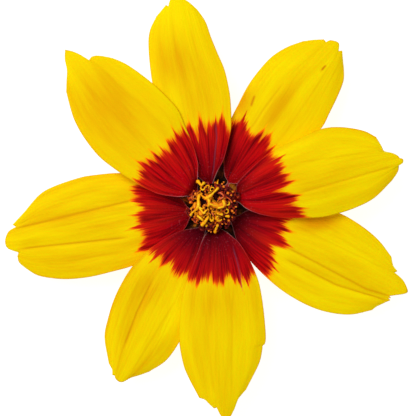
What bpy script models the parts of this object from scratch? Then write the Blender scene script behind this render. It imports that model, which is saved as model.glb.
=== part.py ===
# A threadleaf coreopsis flower head, snipped right under the head and lying face up: a receptacle with its
# stem end and outer bractlets, a ring of inner bracts, eight petals (ray florets) and a disc of small florets.
# The origin is the middle of the flat cut under the head. +Z points out of the flower's face. Seen from above,
# +X is to the right and +Y to the top.

import math
import random

import bmesh
import bpy
import numpy as np
from mathutils import Vector

MM = 0.001
FLOWER = "threadleaf_coreopsis_flower"

# Receptacle: the snipped stem end, the cup above it and the flat top that carries the disc
STEM_RADIUS = 1.1 * MM
STEM_HEIGHT = 0.8 * MM
CUP_MIDDLE_RADIUS = 1.7 * MM
CUP_MIDDLE_HEIGHT = 1.5 * MM
NECK_RADIUS = 2.25 * MM
NECK_BOTTOM = 2.4 * MM
NECK_TOP = 5.0 * MM
RECEPTACLE_TOP = 5.3 * MM
TOP_FLAT_RADIUS = 1.9 * MM
ROUND_STEPS = 24

# Outer bractlets, which lean out and down until their tips rest on the surface beside the cut
BRACTLET_COUNT = 8
BRACTLET_AZIMUTH = 17.5
BRACTLET_ROOT_RADIUS = 1.0 * MM
BRACTLET_ROOT_HEIGHT = 1.55 * MM
BRACTLET_REACH = 6.4 * MM
BRACTLET_TIP_HEIGHT = 0.2 * MM
BRACTLET_CROWN = 0.55 * MM
BRACTLET_HALF_WIDTH = 0.5 * MM
BRACTLET_TIP_HALF_WIDTH = 0.18 * MM
BRACTLET_TAPER_START = 0.4
BRACTLET_THICKNESS = 0.6 * MM
BRACTLET_COLUMNS = 2
BRACTLET_ROWS = 6

# Inner bracts: eight lobes that stand out of one ring under the petals' feet. The profile runs from the ring
# to a lobe's tip, as (radius, height) in mm.
INNER_BRACT_COUNT = 8
INNER_BRACT_AZIMUTH = 40.0
INNER_BRACT_THICKNESS = 0.6 * MM
INNER_BRACT_PROFILE = [(2.95, 2.7), (3.35, 3.1), (4.2, 3.4), (5.7, 3.75)]
INNER_BRACT_NOTCH_REACH = 3.9 * MM
INNER_BRACT_ROUNDNESS = 1.6
INNER_BRACT_COLUMNS = 6
INNER_BRACT_ROWS = 4

# Petals: heights shared by all of them, from the foot to the tip
PETAL_THICKNESS = 0.6 * MM
FOOT_RADIUS = 2.65 * MM
FOOT_HALF_WIDTH = 0.5 * MM
FOOT_HEIGHT = 4.5 * MM
BLADE_RISE = 0.8 * MM
BLADE_RISE_END = 8.0 * MM
BLADE_SAG = 1.6 * MM
BLADE_SAG_END = 25.0 * MM

# Petals lie in three layers. The layers part quickly behind the feet, before the blades overlap.
LAYER_STEP_AT_FOOT = 0.45 * MM
LAYER_STEP = 1.0 * MM
LAYER_STEP_END = 4.0 * MM
OVERLAP_END = 15.0 * MM
FREE_BLADE_START = 20.0 * MM

# How far a blade's edges lie below its middle, where petals overlap and near the tip
EDGE_DROP_BY_LAYER = [0.3 * MM, 0.1 * MM, 0.0]
EDGE_DROP_AT_TIP = 0.45 * MM

GROOVE_DEPTH = 0.22 * MM
GROOVE_HALF_WIDTH = 0.9 * MM
GROOVE_START = 9.0 * MM
GROOVE_END = 23.0 * MM

# A blade's rows of points, and the share of its length over which they take up the tip's notches
PETAL_ROWS = 14
TIP_SHARE = 0.28
TIP_BLEND = 1.5
CURVE_STEPS = 12

# Each petal seen from above, in mm. A point is (along the petal from the flower's middle, across it), and
# across is positive on the anticlockwise side. azimuth is the blade's direction and foot is the foot's, in
# degrees from +X. layer 2 lies on top, and lift raises the tip. A groove runs from one distance across to
# another.
PETALS = [
    {
        "name": "ray_top",
        "azimuth": 99.8,
        "foot": 100.0,
        "layer": 1,
        "lift": 0.5,
        "left": [
            (4.2, 1.5), (6.0, 2.5), (9.0, 3.7), (12.5, 4.5), (16.0, 4.7), (20.0, 4.4), (22.0, 3.9),
            (23.6, 2.8),
        ],
        "tip": [
            (24.2, 2.1), (24.6, 1.5), (24.4, 1.2), (25.1, 0.8), (25.3, 0.4), (25.3, -0.1), (25.1, -0.5),
            (24.9, -0.9), (24.4, -1.4),
        ],
        "right": [
            (3.9, -1.1), (5.1, -2.0), (6.2, -2.6), (9.0, -3.7), (12.0, -4.15), (14.0, -4.2), (16.0, -4.05),
            (18.0, -3.55), (20.0, -3.1), (22.0, -2.75), (23.6, -2.0),
        ],
        "grooves": [(1.6, 1.0), (-1.4, -0.8)],
    },
    {
        "name": "ray_upper_right",
        "azimuth": 52.9,
        "foot": 62.6,
        "layer": 0,
        "lift": 0.2,
        "left": [
            (4.2, 1.7), (6.0, 2.9), (8.0, 4.0), (9.5, 4.6), (11.6, 5.0), (13.9, 5.4), (16.1, 5.45),
            (18.5, 5.2), (20.6, 4.4), (22.3, 3.3),
        ],
        "tip": [
            (23.2, 2.4), (23.9, 1.5), (23.8, 1.1), (24.3, 0.8), (24.7, 0.0), (24.5, -0.4), (23.8, -0.7),
            (24.1, -1.0), (23.8, -1.4),
        ],
        "right": [
            (3.8, -0.8), (5.5, -2.0), (8.0, -3.3), (11.0, -4.3), (15.1, -4.7), (17.3, -4.35), (19.7, -3.85),
            (21.5, -3.3), (22.7, -2.4),
        ],
        "grooves": [(2.1, 1.4), (-1.7, -1.0)],
    },
    {
        "name": "ray_right",
        "azimuth": 13.9,
        "foot": 34.0,
        "layer": 2,
        "lift": -0.4,
        "left": [
            (3.5, 2.3), (4.5, 2.75), (5.8, 3.5), (7.5, 4.35), (9.2, 4.9), (12.0, 5.4), (14.7, 5.85),
            (17.0, 5.5), (19.4, 4.4), (20.8, 3.2),
        ],
        "tip": [
            (21.2, 2.2), (21.3, 1.6), (21.6, 1.2), (22.3, 1.0), (23.0, 0.5), (23.3, 0.0), (23.2, -0.4),
            (22.8, -0.6), (22.4, -1.3),
        ],
        "right": [
            (3.0, -0.2), (3.8, -1.3), (4.7, -2.0), (5.8, -2.6), (8.1, -3.5), (11.9, -4.35), (14.4, -4.45),
            (16.8, -4.2), (19.0, -3.6), (21.5, -2.1),
        ],
        "grooves": [(2.6, 1.6), (-0.9, -0.5)],
    },
    {
        "name": "ray_lower_right",
        "azimuth": -22.5,
        "foot": -35.0,
        "layer": 0,
        "lift": 0.4,
        "left": [
            (3.3, 0.2), (3.9, 1.0), (5.5, 2.3), (8.0, 3.7), (11.0, 4.6), (14.2, 5.0), (17.0, 4.65),
            (19.8, 3.8), (22.1, 2.5),
        ],
        "tip": [
            (22.7, 1.6), (23.4, 1.2), (23.1, 0.9), (24.4, 0.5), (25.4, -0.4), (25.3, -0.9), (24.0, -1.7),
            (24.0, -2.3), (22.9, -3.2),
        ],
        "right": [
            (3.1, -1.5), (4.1, -2.7), (5.5, -3.6), (6.6, -4.3), (9.5, -5.5), (12.2, -6.25), (15.2, -6.65),
            (17.8, -6.5), (20.3, -5.75), (22.3, -4.1),
        ],
        "grooves": [(1.6, 0.9), (-1.5, -1.8), (-3.4, -2.8)],
    },
    {
        "name": "ray_bottom",
        "azimuth": -87.1,
        "foot": -83.0,
        "layer": 2,
        "lift": -0.1,
        "left": [
            (3.2, 1.4), (3.9, 2.2), (4.8, 3.0), (6.7, 4.0), (9.0, 4.85), (11.0, 5.2), (13.5, 5.4),
            (15.8, 5.4), (17.2, 5.05), (19.2, 4.4), (22.2, 2.7),
        ],
        "tip": [
            (23.3, 1.7), (24.5, 1.2), (25.3, 0.7), (25.5, 0.1), (24.9, -0.4), (24.0, -0.8), (24.3, -1.2),
            (23.9, -1.8), (23.4, -2.3),
        ],
        "right": [
            (3.8, -0.9), (5.4, -2.0), (6.8, -2.8), (8.9, -3.7), (10.6, -4.3), (13.2, -4.7), (15.9, -4.9),
            (18.6, -4.55), (20.3, -4.0), (22.9, -2.8),
        ],
        "grooves": [(1.7, 1.0), (-1.7, -1.1)],
    },
    {
        "name": "ray_lower_left",
        "azimuth": -117.9,
        "foot": -115.0,
        "layer": 1,
        "lift": -0.5,
        "left": [
            (4.0, 0.9), (6.0, 2.1), (9.0, 3.3), (12.5, 4.0), (16.2, 4.0), (19.0, 3.6), (21.2, 2.4),
        ],
        "tip": [
            (22.0, 1.7), (22.8, 0.9), (23.4, 0.5), (23.7, 0.3), (23.9, 0.0), (23.9, -0.4), (23.7, -0.8),
            (23.5, -1.1), (23.1, -1.4),
        ],
        "right": [
            (3.2, -0.5), (4.2, -1.8), (5.1, -2.6), (6.0, -3.2), (7.1, -3.85), (8.3, -4.4), (10.9, -5.2),
            (13.2, -5.4), (15.5, -5.3), (18.0, -4.75), (20.0, -4.0), (22.5, -2.1),
        ],
        "grooves": [(1.2, 0.6), (-2.3, -1.4)],
    },
    {
        "name": "ray_left",
        "azimuth": -171.1,
        "foot": -165.0,
        "layer": 0,
        "lift": 0.0,
        "left": [
            (3.1, 1.1), (3.8, 2.1), (6.0, 3.9), (8.0, 4.9), (10.7, 5.6), (13.2, 5.9), (15.9, 6.1),
            (18.5, 5.95), (20.4, 5.5), (22.2, 4.8), (23.4, 3.7),
        ],
        "tip": [
            (24.0, 3.0), (24.1, 2.3), (23.9, 1.9), (25.2, 1.2), (25.4, 0.4), (25.1, -0.4), (24.6, -0.9),
            (23.9, -1.2), (23.8, -1.7),
        ],
        "right": [
            (3.1, -0.4), (3.9, -1.7), (6.0, -3.6), (8.0, -4.8), (10.5, -5.65), (13.9, -5.9), (15.7, -5.8),
            (18.6, -5.15), (20.5, -4.4), (22.7, -2.6),
        ],
        "grooves": [(2.9, 2.2), (-2.0, -1.0)],
    },
    {
        "name": "ray_upper_left",
        "azimuth": 133.5,
        "foot": 142.0,
        "layer": 2,
        "lift": 0.3,
        "left": [
            (3.6, 2.2), (5.3, 3.6), (6.5, 4.2), (7.9, 4.7), (9.3, 5.05), (10.7, 5.4), (13.7, 5.85),
            (16.5, 5.6), (18.8, 5.0), (20.5, 4.2), (22.1, 3.3),
        ],
        "tip": [
            (23.0, 2.4), (23.9, 1.5), (25.0, 0.8), (25.8, 0.0), (24.9, -0.4), (24.0, -0.8), (22.9, -1.2),
            (23.0, -1.7), (22.7, -2.2),
        ],
        "right": [
            (3.8, -1.0), (4.4, -1.6), (5.2, -2.3), (7.1, -3.3), (9.2, -4.05), (11.1, -4.8), (13.0, -4.95),
            (15.7, -4.8), (19.0, -4.2), (20.9, -3.5), (22.1, -2.7),
        ],
        "grooves": [(1.0, 0.4), (-2.2, -1.6)],
    },
]

# Disc: a low dome that the florets stand out of, placed by the golden angle and leaning out more to the rim
DISC_PROFILE = [(0.0, 8.4), (1.2, 8.2), (2.1, 7.7), (2.6, 7.2), (2.5, 6.8), (1.8, 5.65), (0.0, 5.65)]
DOME_HEIGHT = 8.35 * MM
DOME_FALL = 1.25 * MM
DISC_SEED = 8
FLORET_COUNT = 26
FLORET_SPREAD = 2.35 * MM
FLORET_LEAN = 52.0
FLORET_LEAN_BEND = 1.5
FLORET_LENGTH = 0.75 * MM
FLORET_ROOT = 0.5 * MM
FLORET_BELLY = 0.7
FLORET_RADIUS = 0.24 * MM
FLORET_MOUTH_RADIUS = 0.32 * MM
GOLDEN_ANGLE = math.pi * (3.0 - math.sqrt(5.0))

# The florets in the middle of the disc are still closed buds
BUD_SHARE = 0.2
BUD_LENGTH_SHARE = 0.8
BUD_TIP_RADIUS = 0.14 * MM

# One arm of a forked style, in mm from the mouth's middle: distance out, height and radius
STYLE_ARM = [(0.1, -0.2, 0.14), (0.36, 0.3, 0.16), (0.72, 0.34, 0.26), (0.95, 0.12, 0.16)]
STYLE_SIZES = (0.9, 1.2)
LIMB_RESOLUTION = 1

UP = Vector((0.0, 0.0, 1.0))
# Points closer than this are one point. Faces flatter than the first angle are one face, and edges sharper
# than the second are shaded sharp.
MERGE = 0.01 * MM
FLAT_ANGLE = math.radians(1.0)
SHARP_ANGLE = math.radians(40.0)

# Each material's colour, in linear values, and its roughness
MATERIALS = {
    "petal": ((0.95, 0.66, 0.0), 0.55),
    "disc": ((0.95, 0.55, 0.02), 0.6),
    "inner_bract": ((0.16, 0.09, 0.03), 0.6),
    "green": ((0.16, 0.28, 0.06), 0.6),
}


def clear_scene():
    for item in list(bpy.data.objects):
        bpy.data.objects.remove(item)


def make_material(name):
    colour, roughness = MATERIALS[name]
    material = bpy.data.materials.new(name)
    material.use_nodes = True
    shader = material.node_tree.nodes["Principled BSDF"]
    shader.inputs["Base Color"].default_value = (*colour, 1.0)
    shader.inputs["Roughness"].default_value = roughness
    shader.inputs["Metallic"].default_value = 0.0
    return material


def smooth_step(start, end, value):
    share = min(max((value - start) / (end - start), 0.0), 1.0)
    return share * share * (3.0 - 2.0 * share)


def polar(radius, degrees):
    angle = math.radians(degrees)
    return radius * math.cos(angle), radius * math.sin(angle)


# A smooth curve through the points, read at evenly spaced places along it
def even_curve(points, count):
    corners = np.array(points, dtype=float)
    padded = np.vstack([2 * corners[0] - corners[1], corners, 2 * corners[-1] - corners[-2]])
    dense = []
    for before, start, end, after in zip(padded, padded[1:], padded[2:], padded[3:]):
        for t in np.linspace(0.0, 1.0, CURVE_STEPS, endpoint=False):
            bend = (2 * before - 5 * start + 4 * end - after) * t**2
            twist = (3 * start - before - 3 * end + after) * t**3
            dense.append(0.5 * (2 * start + (end - before) * t + bend + twist))
    dense.append(corners[-1])
    dense = np.array(dense)
    lengths = np.concatenate([[0.0], np.cumsum(np.linalg.norm(np.diff(dense, axis=0), axis=1))])
    wanted = np.linspace(0.0, lengths[-1], count)
    return np.column_stack([np.interp(wanted, lengths, dense[:, axis]) for axis in range(2)])


# A blade: a grid whose points are placed by place(along, across), split into triangles and given a thickness
def make_blade(name, columns, rows, place, thickness, closed=False):
    mesh = bpy.data.meshes.new(name)
    work = bmesh.new()
    bmesh.ops.create_grid(work, x_segments=columns, y_segments=rows, size=0.5)
    for vertex in work.verts:
        vertex.co = Vector(place(vertex.co.y + 0.5, vertex.co.x + 0.5))
    if closed:
        bmesh.ops.remove_doubles(work, verts=work.verts, dist=MERGE)
    bmesh.ops.triangulate(work, faces=work.faces, quad_method="ALTERNATE")
    work.to_mesh(mesh)
    work.free()
    mesh.shade_smooth()
    blade = bpy.data.objects.new(name, mesh)
    solidify = blade.modifiers.new("thickness", "SOLIDIFY")
    solidify.thickness = thickness
    solidify.offset = 0.0
    return blade


def turned(name, profile, collection):
    mesh = bpy.data.meshes.new(name)
    points = [(x, 0.0, z) for x, z in profile]
    mesh.from_pydata(points, [(i, i + 1) for i in range(len(points) - 1)], [])
    body = bpy.data.objects.new(name, mesh)
    collection.objects.link(body)
    screw = body.modifiers.new("turn", "SCREW")
    screw.steps = ROUND_STEPS
    screw.render_steps = ROUND_STEPS
    screw.use_merge_vertices = True
    screw.merge_threshold = MERGE
    return body


# The object's shape with its modifiers applied, as a plain mesh object
def as_mesh(source, collection):
    bpy.context.view_layer.update()
    evaluated = source.evaluated_get(bpy.context.evaluated_depsgraph_get())
    mesh = bpy.data.meshes.new_from_object(evaluated)
    work = bmesh.new()
    work.from_mesh(mesh)
    bmesh.ops.remove_doubles(work, verts=work.verts, dist=MERGE)
    bmesh.ops.triangulate(work, faces=work.faces)
    work.to_mesh(mesh)
    work.free()
    result = bpy.data.objects.new(source.name, mesh)
    result.matrix_world = source.matrix_world
    collection.objects.link(result)
    bpy.data.objects.remove(source)
    return result


# A round limb that tapers along its points, such as a floret's tube or a style's arm
def make_limb(points, radii, collection):
    curve = bpy.data.curves.new("limb", "CURVE")
    curve.dimensions = "3D"
    curve.bevel_depth = 1.0
    curve.bevel_resolution = LIMB_RESOLUTION
    curve.use_fill_caps = True
    spline = curve.splines.new("POLY")
    spline.points.add(len(points) - 1)
    for point, place, radius in zip(spline.points, points, radii):
        point.co = (*place, 1.0)
        point.radius = radius
    limb = bpy.data.objects.new("limb", curve)
    collection.objects.link(limb)
    return as_mesh(limb, collection)


# Joins every piece in the collection to the body in one union, and removes the pieces
def fuse(body, pieces):
    union = body.modifiers.new("union", "BOOLEAN")
    union.operation = "UNION"
    union.operand_type = "COLLECTION"
    union.collection = pieces
    union.solver = "EXACT"
    bpy.context.view_layer.update()
    evaluated = body.evaluated_get(bpy.context.evaluated_depsgraph_get())
    fused = bpy.data.meshes.new_from_object(evaluated)
    body.modifiers.clear()
    body.data = fused
    for piece in list(pieces.objects):
        bpy.data.objects.remove(piece)
    tidy_shell(fused)
    fused.shade_smooth()
    fused.set_sharp_from_angle(angle=SHARP_ANGLE)


# Merges the slivers that a union leaves, drops loose scraps and fills sealed hollows: one shell stays
def tidy_shell(mesh):
    work = bmesh.new()
    work.from_mesh(mesh)
    bmesh.ops.remove_doubles(work, verts=work.verts, dist=MERGE)
    bmesh.ops.dissolve_limit(work, angle_limit=FLAT_ANGLE, verts=work.verts, edges=work.edges)
    bmesh.ops.dissolve_degenerate(work, edges=work.edges, dist=MERGE)
    bmesh.ops.triangulate(work, faces=work.faces)
    shells = []
    unseen = set(work.verts)
    while unseen:
        queue = [unseen.pop()]
        shell = set(queue)
        while queue:
            for edge in queue.pop().link_edges:
                fresh = unseen.intersection(edge.verts)
                unseen -= fresh
                shell |= fresh
                queue.extend(fresh)
        shells.append(shell)
    largest = max(shells, key=len)
    loose = [vertex for vertex in work.verts if vertex not in largest]
    bmesh.ops.delete(work, geom=loose, context="VERTS")
    work.to_mesh(mesh)
    work.free()


def make_receptacle(collection):
    body = turned(
        "receptacle",
        [
            (0.0, RECEPTACLE_TOP),
            (TOP_FLAT_RADIUS, RECEPTACLE_TOP),
            (NECK_RADIUS, NECK_TOP),
            (NECK_RADIUS, NECK_BOTTOM),
            (CUP_MIDDLE_RADIUS, CUP_MIDDLE_HEIGHT),
            (STEM_RADIUS, STEM_HEIGHT),
            (STEM_RADIUS, 0.0),
            (0.0, 0.0),
        ],
        collection,
    )
    pieces = bpy.data.collections.new("bractlets")
    bpy.context.scene.collection.children.link(pieces)
    for index in range(BRACTLET_COUNT):
        azimuth = BRACTLET_AZIMUTH + index * 360.0 / BRACTLET_COUNT

        def place(along, across):
            reach = BRACTLET_ROOT_RADIUS + along * (BRACTLET_REACH - BRACTLET_ROOT_RADIUS)
            fall = BRACTLET_ROOT_HEIGHT + along * (BRACTLET_TIP_HEIGHT - BRACTLET_ROOT_HEIGHT)
            narrowing = smooth_step(BRACTLET_TAPER_START, 1.0, along)
            half_width = BRACTLET_HALF_WIDTH + narrowing * (BRACTLET_TIP_HALF_WIDTH - BRACTLET_HALF_WIDTH)
            side = (2.0 * across - 1.0) * half_width
            x, y = polar(reach, azimuth)
            side_x, side_y = polar(side, azimuth + 90.0)
            return x + side_x, y + side_y, fall + BRACTLET_CROWN * math.sin(math.pi * along)

        blade = make_blade("bractlet", BRACTLET_COLUMNS, BRACTLET_ROWS, place, BRACTLET_THICKNESS)
        pieces.objects.link(blade)
        for vertex in as_mesh(blade, pieces).data.vertices:
            vertex.co.z = max(vertex.co.z, 0.0)
    fuse(body, pieces)
    bpy.data.collections.remove(pieces)
    body.data.materials.append(make_material("green"))
    return body


def make_inner_bracts(collection):
    rim = np.array(INNER_BRACT_PROFILE) * MM

    def place(along, across):
        turn = across * INNER_BRACT_COUNT
        from_middle = abs(2.0 * (turn - math.floor(turn)) - 1.0)
        lobe = 1.0 - from_middle**INNER_BRACT_ROUNDNESS
        reach = INNER_BRACT_NOTCH_REACH + lobe * (rim[-1][0] - INNER_BRACT_NOTCH_REACH)
        full = rim[0][0] + along * (reach - rim[0][0])
        height = np.interp(full, rim[:, 0], rim[:, 1])
        azimuth = INNER_BRACT_AZIMUTH + (turn - 0.5) * 360.0 / INNER_BRACT_COUNT
        x, y = polar(full, azimuth)
        return x, y, height

    columns = INNER_BRACT_COUNT * INNER_BRACT_COLUMNS
    body = make_blade("inner_bracts", columns, INNER_BRACT_ROWS, place, INNER_BRACT_THICKNESS, closed=True)
    body.data.materials.append(make_material("inner_bract"))
    collection.objects.link(body)
    return body


def groove_drop(petal, along, across):
    run = min(max((along - GROOVE_START) / (GROOVE_END - GROOVE_START), 0.0), 1.0)
    fade = smooth_step(GROOVE_START, OVERLAP_END, along)
    drop = 0.0
    for near, far in petal["grooves"]:
        middle = (near + run * (far - near)) * MM
        drop += GROOVE_DEPTH * math.exp(-2.0 * ((across - middle) / GROOVE_HALF_WIDTH) ** 2)
    return drop * fade


def petal_height(petal, along, across, side):
    radius = math.hypot(along, across)
    height = FOOT_HEIGHT + BLADE_RISE * smooth_step(FOOT_RADIUS, BLADE_RISE_END, radius)
    sag = max(radius - BLADE_RISE_END, 0.0) / (BLADE_SAG_END - BLADE_RISE_END)
    height -= BLADE_SAG * sag**2
    parting = smooth_step(FOOT_RADIUS, LAYER_STEP_END, radius)
    height += petal["layer"] * (LAYER_STEP_AT_FOOT + parting * (LAYER_STEP - LAYER_STEP_AT_FOOT))
    free = smooth_step(OVERLAP_END, FREE_BLADE_START, radius)
    near_drop = EDGE_DROP_BY_LAYER[petal["layer"]] * smooth_step(LAYER_STEP_END, BLADE_RISE_END, radius)
    height -= (near_drop + free * (EDGE_DROP_AT_TIP - near_drop)) * side**2
    beyond = max(radius - OVERLAP_END, 0.0) / (BLADE_SAG_END - OVERLAP_END)
    height += petal["lift"] * MM * beyond**2
    return height - groove_drop(petal, along, across)


def make_petal(petal, collection):
    turn = math.radians(petal["foot"] - petal["azimuth"])
    foot = np.array([math.cos(turn), math.sin(turn)]) * FOOT_RADIUS
    foot_side = np.array([-math.sin(turn), math.cos(turn)]) * FOOT_HALF_WIDTH
    rows = PETAL_ROWS
    left = even_curve([foot + foot_side] + [np.array(p) * MM for p in petal["left"]], rows + 1)
    right = even_curve([foot - foot_side] + [np.array(p) * MM for p in petal["right"]], rows + 1)
    tip = np.vstack([left[-1], np.array(petal["tip"]) * MM, right[-1]])
    columns = len(tip) - 1

    def place(along, across):
        row = round(along * rows)
        column = round(across * columns)
        share = column / columns
        flat = left[row] * (1.0 - share) + right[row] * share
        chord = left[-1] * (1.0 - share) + right[-1] * share
        reach = max(along - (1.0 - TIP_SHARE), 0.0) / TIP_SHARE
        flat = flat + (tip[column] - chord) * reach**TIP_BLEND
        height = petal_height(petal, flat[0], flat[1], 2.0 * share - 1.0)
        angle = math.radians(petal["azimuth"])
        x = flat[0] * math.cos(angle) - flat[1] * math.sin(angle)
        y = flat[0] * math.sin(angle) + flat[1] * math.cos(angle)
        return x, y, height

    body = make_blade(petal["name"], columns, rows, place, PETAL_THICKNESS)
    body.data.flip_normals()
    body.data.materials.append(make_material("petal"))
    collection.objects.link(body)
    return body


# A disc floret's tube, which opens into a mouth or, as a bud, closes to a blunt tip
def add_tube(seat, axis, bud, pieces):
    length = FLORET_LENGTH * (BUD_LENGTH_SHARE if bud else 1.0)
    points = [seat - axis * FLORET_ROOT, seat, seat + axis * length * FLORET_BELLY, seat + axis * length]
    end_radius = BUD_TIP_RADIUS if bud else FLORET_RADIUS
    make_limb(points, [FLORET_RADIUS, FLORET_RADIUS, FLORET_MOUTH_RADIUS, end_radius], pieces)
    return points[-1]


# A forked style: two arms that leave the mouth, bow outwards and end in clubs
def add_style(mouth, axis, spread, size, pieces):
    arm = [(Vector((x, y)) * MM * size, radius * MM) for x, y, radius in STYLE_ARM]
    places = [mouth - spread * p.x + axis * p.y for p, _ in reversed(arm)]
    places += [mouth + spread * p.x + axis * p.y for p, _ in arm]
    radii = [radius for _, radius in reversed(arm)] + [radius for _, radius in arm]
    make_limb(places, radii, pieces)


def make_disc(collection):
    draw = random.Random(DISC_SEED)
    body = turned("disc_florets", [(x * MM, z * MM) for x, z in DISC_PROFILE], collection)
    pieces = bpy.data.collections.new("florets")
    bpy.context.scene.collection.children.link(pieces)
    for index in range(FLORET_COUNT):
        share = math.sqrt((index + 0.5) / FLORET_COUNT)
        angle = index * GOLDEN_ANGLE
        outward = Vector((math.cos(angle), math.sin(angle), 0.0))
        seat = outward * FLORET_SPREAD * share + UP * (DOME_HEIGHT - DOME_FALL * share**2)
        lean = math.radians(FLORET_LEAN) * share**FLORET_LEAN_BEND
        axis = outward * math.sin(lean) + UP * math.cos(lean)
        bud = share**2 < BUD_SHARE
        mouth = add_tube(seat, axis, bud, pieces)
        turn = draw.uniform(0.0, math.tau)
        size = draw.uniform(*STYLE_SIZES)
        if not bud:
            spread = Vector((math.cos(turn), math.sin(turn), 0.0))
            spread = (spread - axis * spread.dot(axis)).normalized()
            add_style(mouth, axis, spread, size, pieces)
    fuse(body, pieces)
    bpy.data.collections.remove(pieces)
    body.data.materials.append(make_material("disc"))
    return body


def build():
    clear_scene()
    collection = bpy.data.collections.new(FLOWER)
    bpy.context.scene.collection.children.link(collection)
    make_receptacle(collection)
    make_inner_bracts(collection)
    for petal in PETALS:
        make_petal(petal, collection)
    make_disc(collection)


build()
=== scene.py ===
# Looks of a threadleaf coreopsis flower head that lies face up on its snipped stem end.
# The head is seen from straight above, on a white floor, with soft light from the upper left.
import math
import random

import bmesh
import bpy
import numpy as np
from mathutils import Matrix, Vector


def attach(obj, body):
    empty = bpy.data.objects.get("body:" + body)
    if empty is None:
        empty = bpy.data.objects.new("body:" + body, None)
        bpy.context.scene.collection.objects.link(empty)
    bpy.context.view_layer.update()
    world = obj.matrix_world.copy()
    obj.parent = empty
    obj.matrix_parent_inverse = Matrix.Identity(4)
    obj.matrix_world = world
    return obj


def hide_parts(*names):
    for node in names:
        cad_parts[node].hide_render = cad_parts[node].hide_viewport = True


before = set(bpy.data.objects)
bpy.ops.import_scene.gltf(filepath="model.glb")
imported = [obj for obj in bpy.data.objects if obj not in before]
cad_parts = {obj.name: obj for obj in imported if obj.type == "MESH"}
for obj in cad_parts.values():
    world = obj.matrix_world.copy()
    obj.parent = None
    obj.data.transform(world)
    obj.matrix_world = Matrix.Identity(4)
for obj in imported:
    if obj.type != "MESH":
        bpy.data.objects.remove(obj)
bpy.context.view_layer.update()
mm = 0.001
mergeDistance = 0.002 * mm  # points closer than this become one where a mesh is closed


# Colours are written as sRGB hex values and turned to linear here
def linear(colour):
    channels = [int(colour[i : i + 2], 16) / 255 for i in (1, 3, 5)]
    return [c / 12.92 if c <= 0.04045 else ((c + 0.055) / 1.055) ** 2.4 for c in channels] + [1.0]


# Adds a node and gives its output. inputs are values or sockets to link, in order or by name, stops are a
# colour ramp's places and colours, and settings are the node's own properties.
def addNode(tree, kind, inputs=(), stops=(), output=None, **settings):
    new = tree.nodes.new(kind)
    for name, value in settings.items():
        setattr(new, name, value)
    sockets = [s for s in new.inputs if s.enabled]
    for key, value in inputs.items() if isinstance(inputs, dict) else enumerate(inputs):
        socket = sockets[key] if isinstance(key, int) else next(s for s in sockets if s.name == key)
        if isinstance(value, bpy.types.NodeSocket):
            tree.links.new(value, socket)
        else:
            socket.default_value = value
    for index, (place, colour) in enumerate(stops):
        elements = new.color_ramp.elements
        element = elements[index] if index < len(elements) else elements.new(place)
        element.position = place
        element.color = linear(colour)
    return new.outputs[output] if output else next((s for s in new.outputs if s.enabled), None)


def newMaterial(name, **sockets):
    material = bpy.data.materials.new(name)
    material.use_nodes = True
    shader = material.node_tree.nodes["Principled BSDF"]
    for socket, value in sockets.items():
        shader.inputs[socket.replace("_", " ")].default_value = value
    return material, material.node_tree, shader


def newTree(name, inputs):
    tree = bpy.data.node_groups.new(name, "GeometryNodeTree")
    for label, kind in inputs.items():
        tree.interface.new_socket(name=label, in_out="INPUT", socket_type="NodeSocket" + kind)
    tree.interface.new_socket(name="Geometry", in_out="OUTPUT", socket_type="NodeSocketGeometry")
    return tree, tree.nodes.new("NodeGroupInput").outputs


# Ends a Geometry Nodes tree: makes its copies real and gives them their material
def finishTree(tree, geometry, material):
    real = addNode(tree, "GeometryNodeRealizeInstances", [geometry])
    dressed = addNode(tree, "GeometryNodeSetMaterial", {"Geometry": real, "Material": material})
    addNode(tree, "NodeGroupOutput", [dressed])


# Runs a Geometry Nodes tree on an object and gives the result back as a plain mesh object
def runTree(source, tree, values):
    modifier = source.modifiers.new(tree.name, "NODES")
    modifier.node_group = tree
    for item in tree.interface.items_tree:
        if item.name in values:
            modifier[item.identifier] = values[item.name]
    bpy.context.scene.collection.objects.link(source)
    bpy.context.view_layer.update()
    evaluated = source.evaluated_get(bpy.context.evaluated_depsgraph_get())
    mesh = bpy.data.meshes.new_from_object(evaluated)
    name = source.name
    bpy.data.objects.remove(source)
    return newObject(name, mesh)


def newObject(name, data):
    made = bpy.data.objects.new(name, data)
    made.name = name
    bpy.context.scene.collection.objects.link(made)
    return made


def smoothStep(start, end, value):
    share = np.clip((value - start) / (end - start), 0.0, 1.0)
    return share * share * (3.0 - 2.0 * share)


# A smooth curve through the points, read at evenly spaced places along it
def evenCurve(points, count, steps=12):
    corners = np.array(points, dtype=float)
    padded = np.vstack([2 * corners[0] - corners[1], corners, 2 * corners[-1] - corners[-2]])
    t = np.linspace(0.0, 1.0, steps, endpoint=False)[:, None]
    dense = []
    for before, start, end, after in zip(padded, padded[1:], padded[2:], padded[3:]):
        bend = (2 * before - 5 * start + 4 * end - after) * t**2
        twist = (3 * start - before - 3 * end + after) * t**3
        dense.append(0.5 * (2 * start + (end - before) * t + bend + twist))
    dense = np.vstack(dense + [corners[-1:]])
    lengths = np.concatenate([[0.0], np.cumsum(np.linalg.norm(np.diff(dense[:, :2], axis=0), axis=1))])
    wanted = np.linspace(0.0, lengths[-1], count)
    return np.column_stack([np.interp(wanted, lengths, dense[:, axis]) for axis in range(dense.shape[1])])


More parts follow.
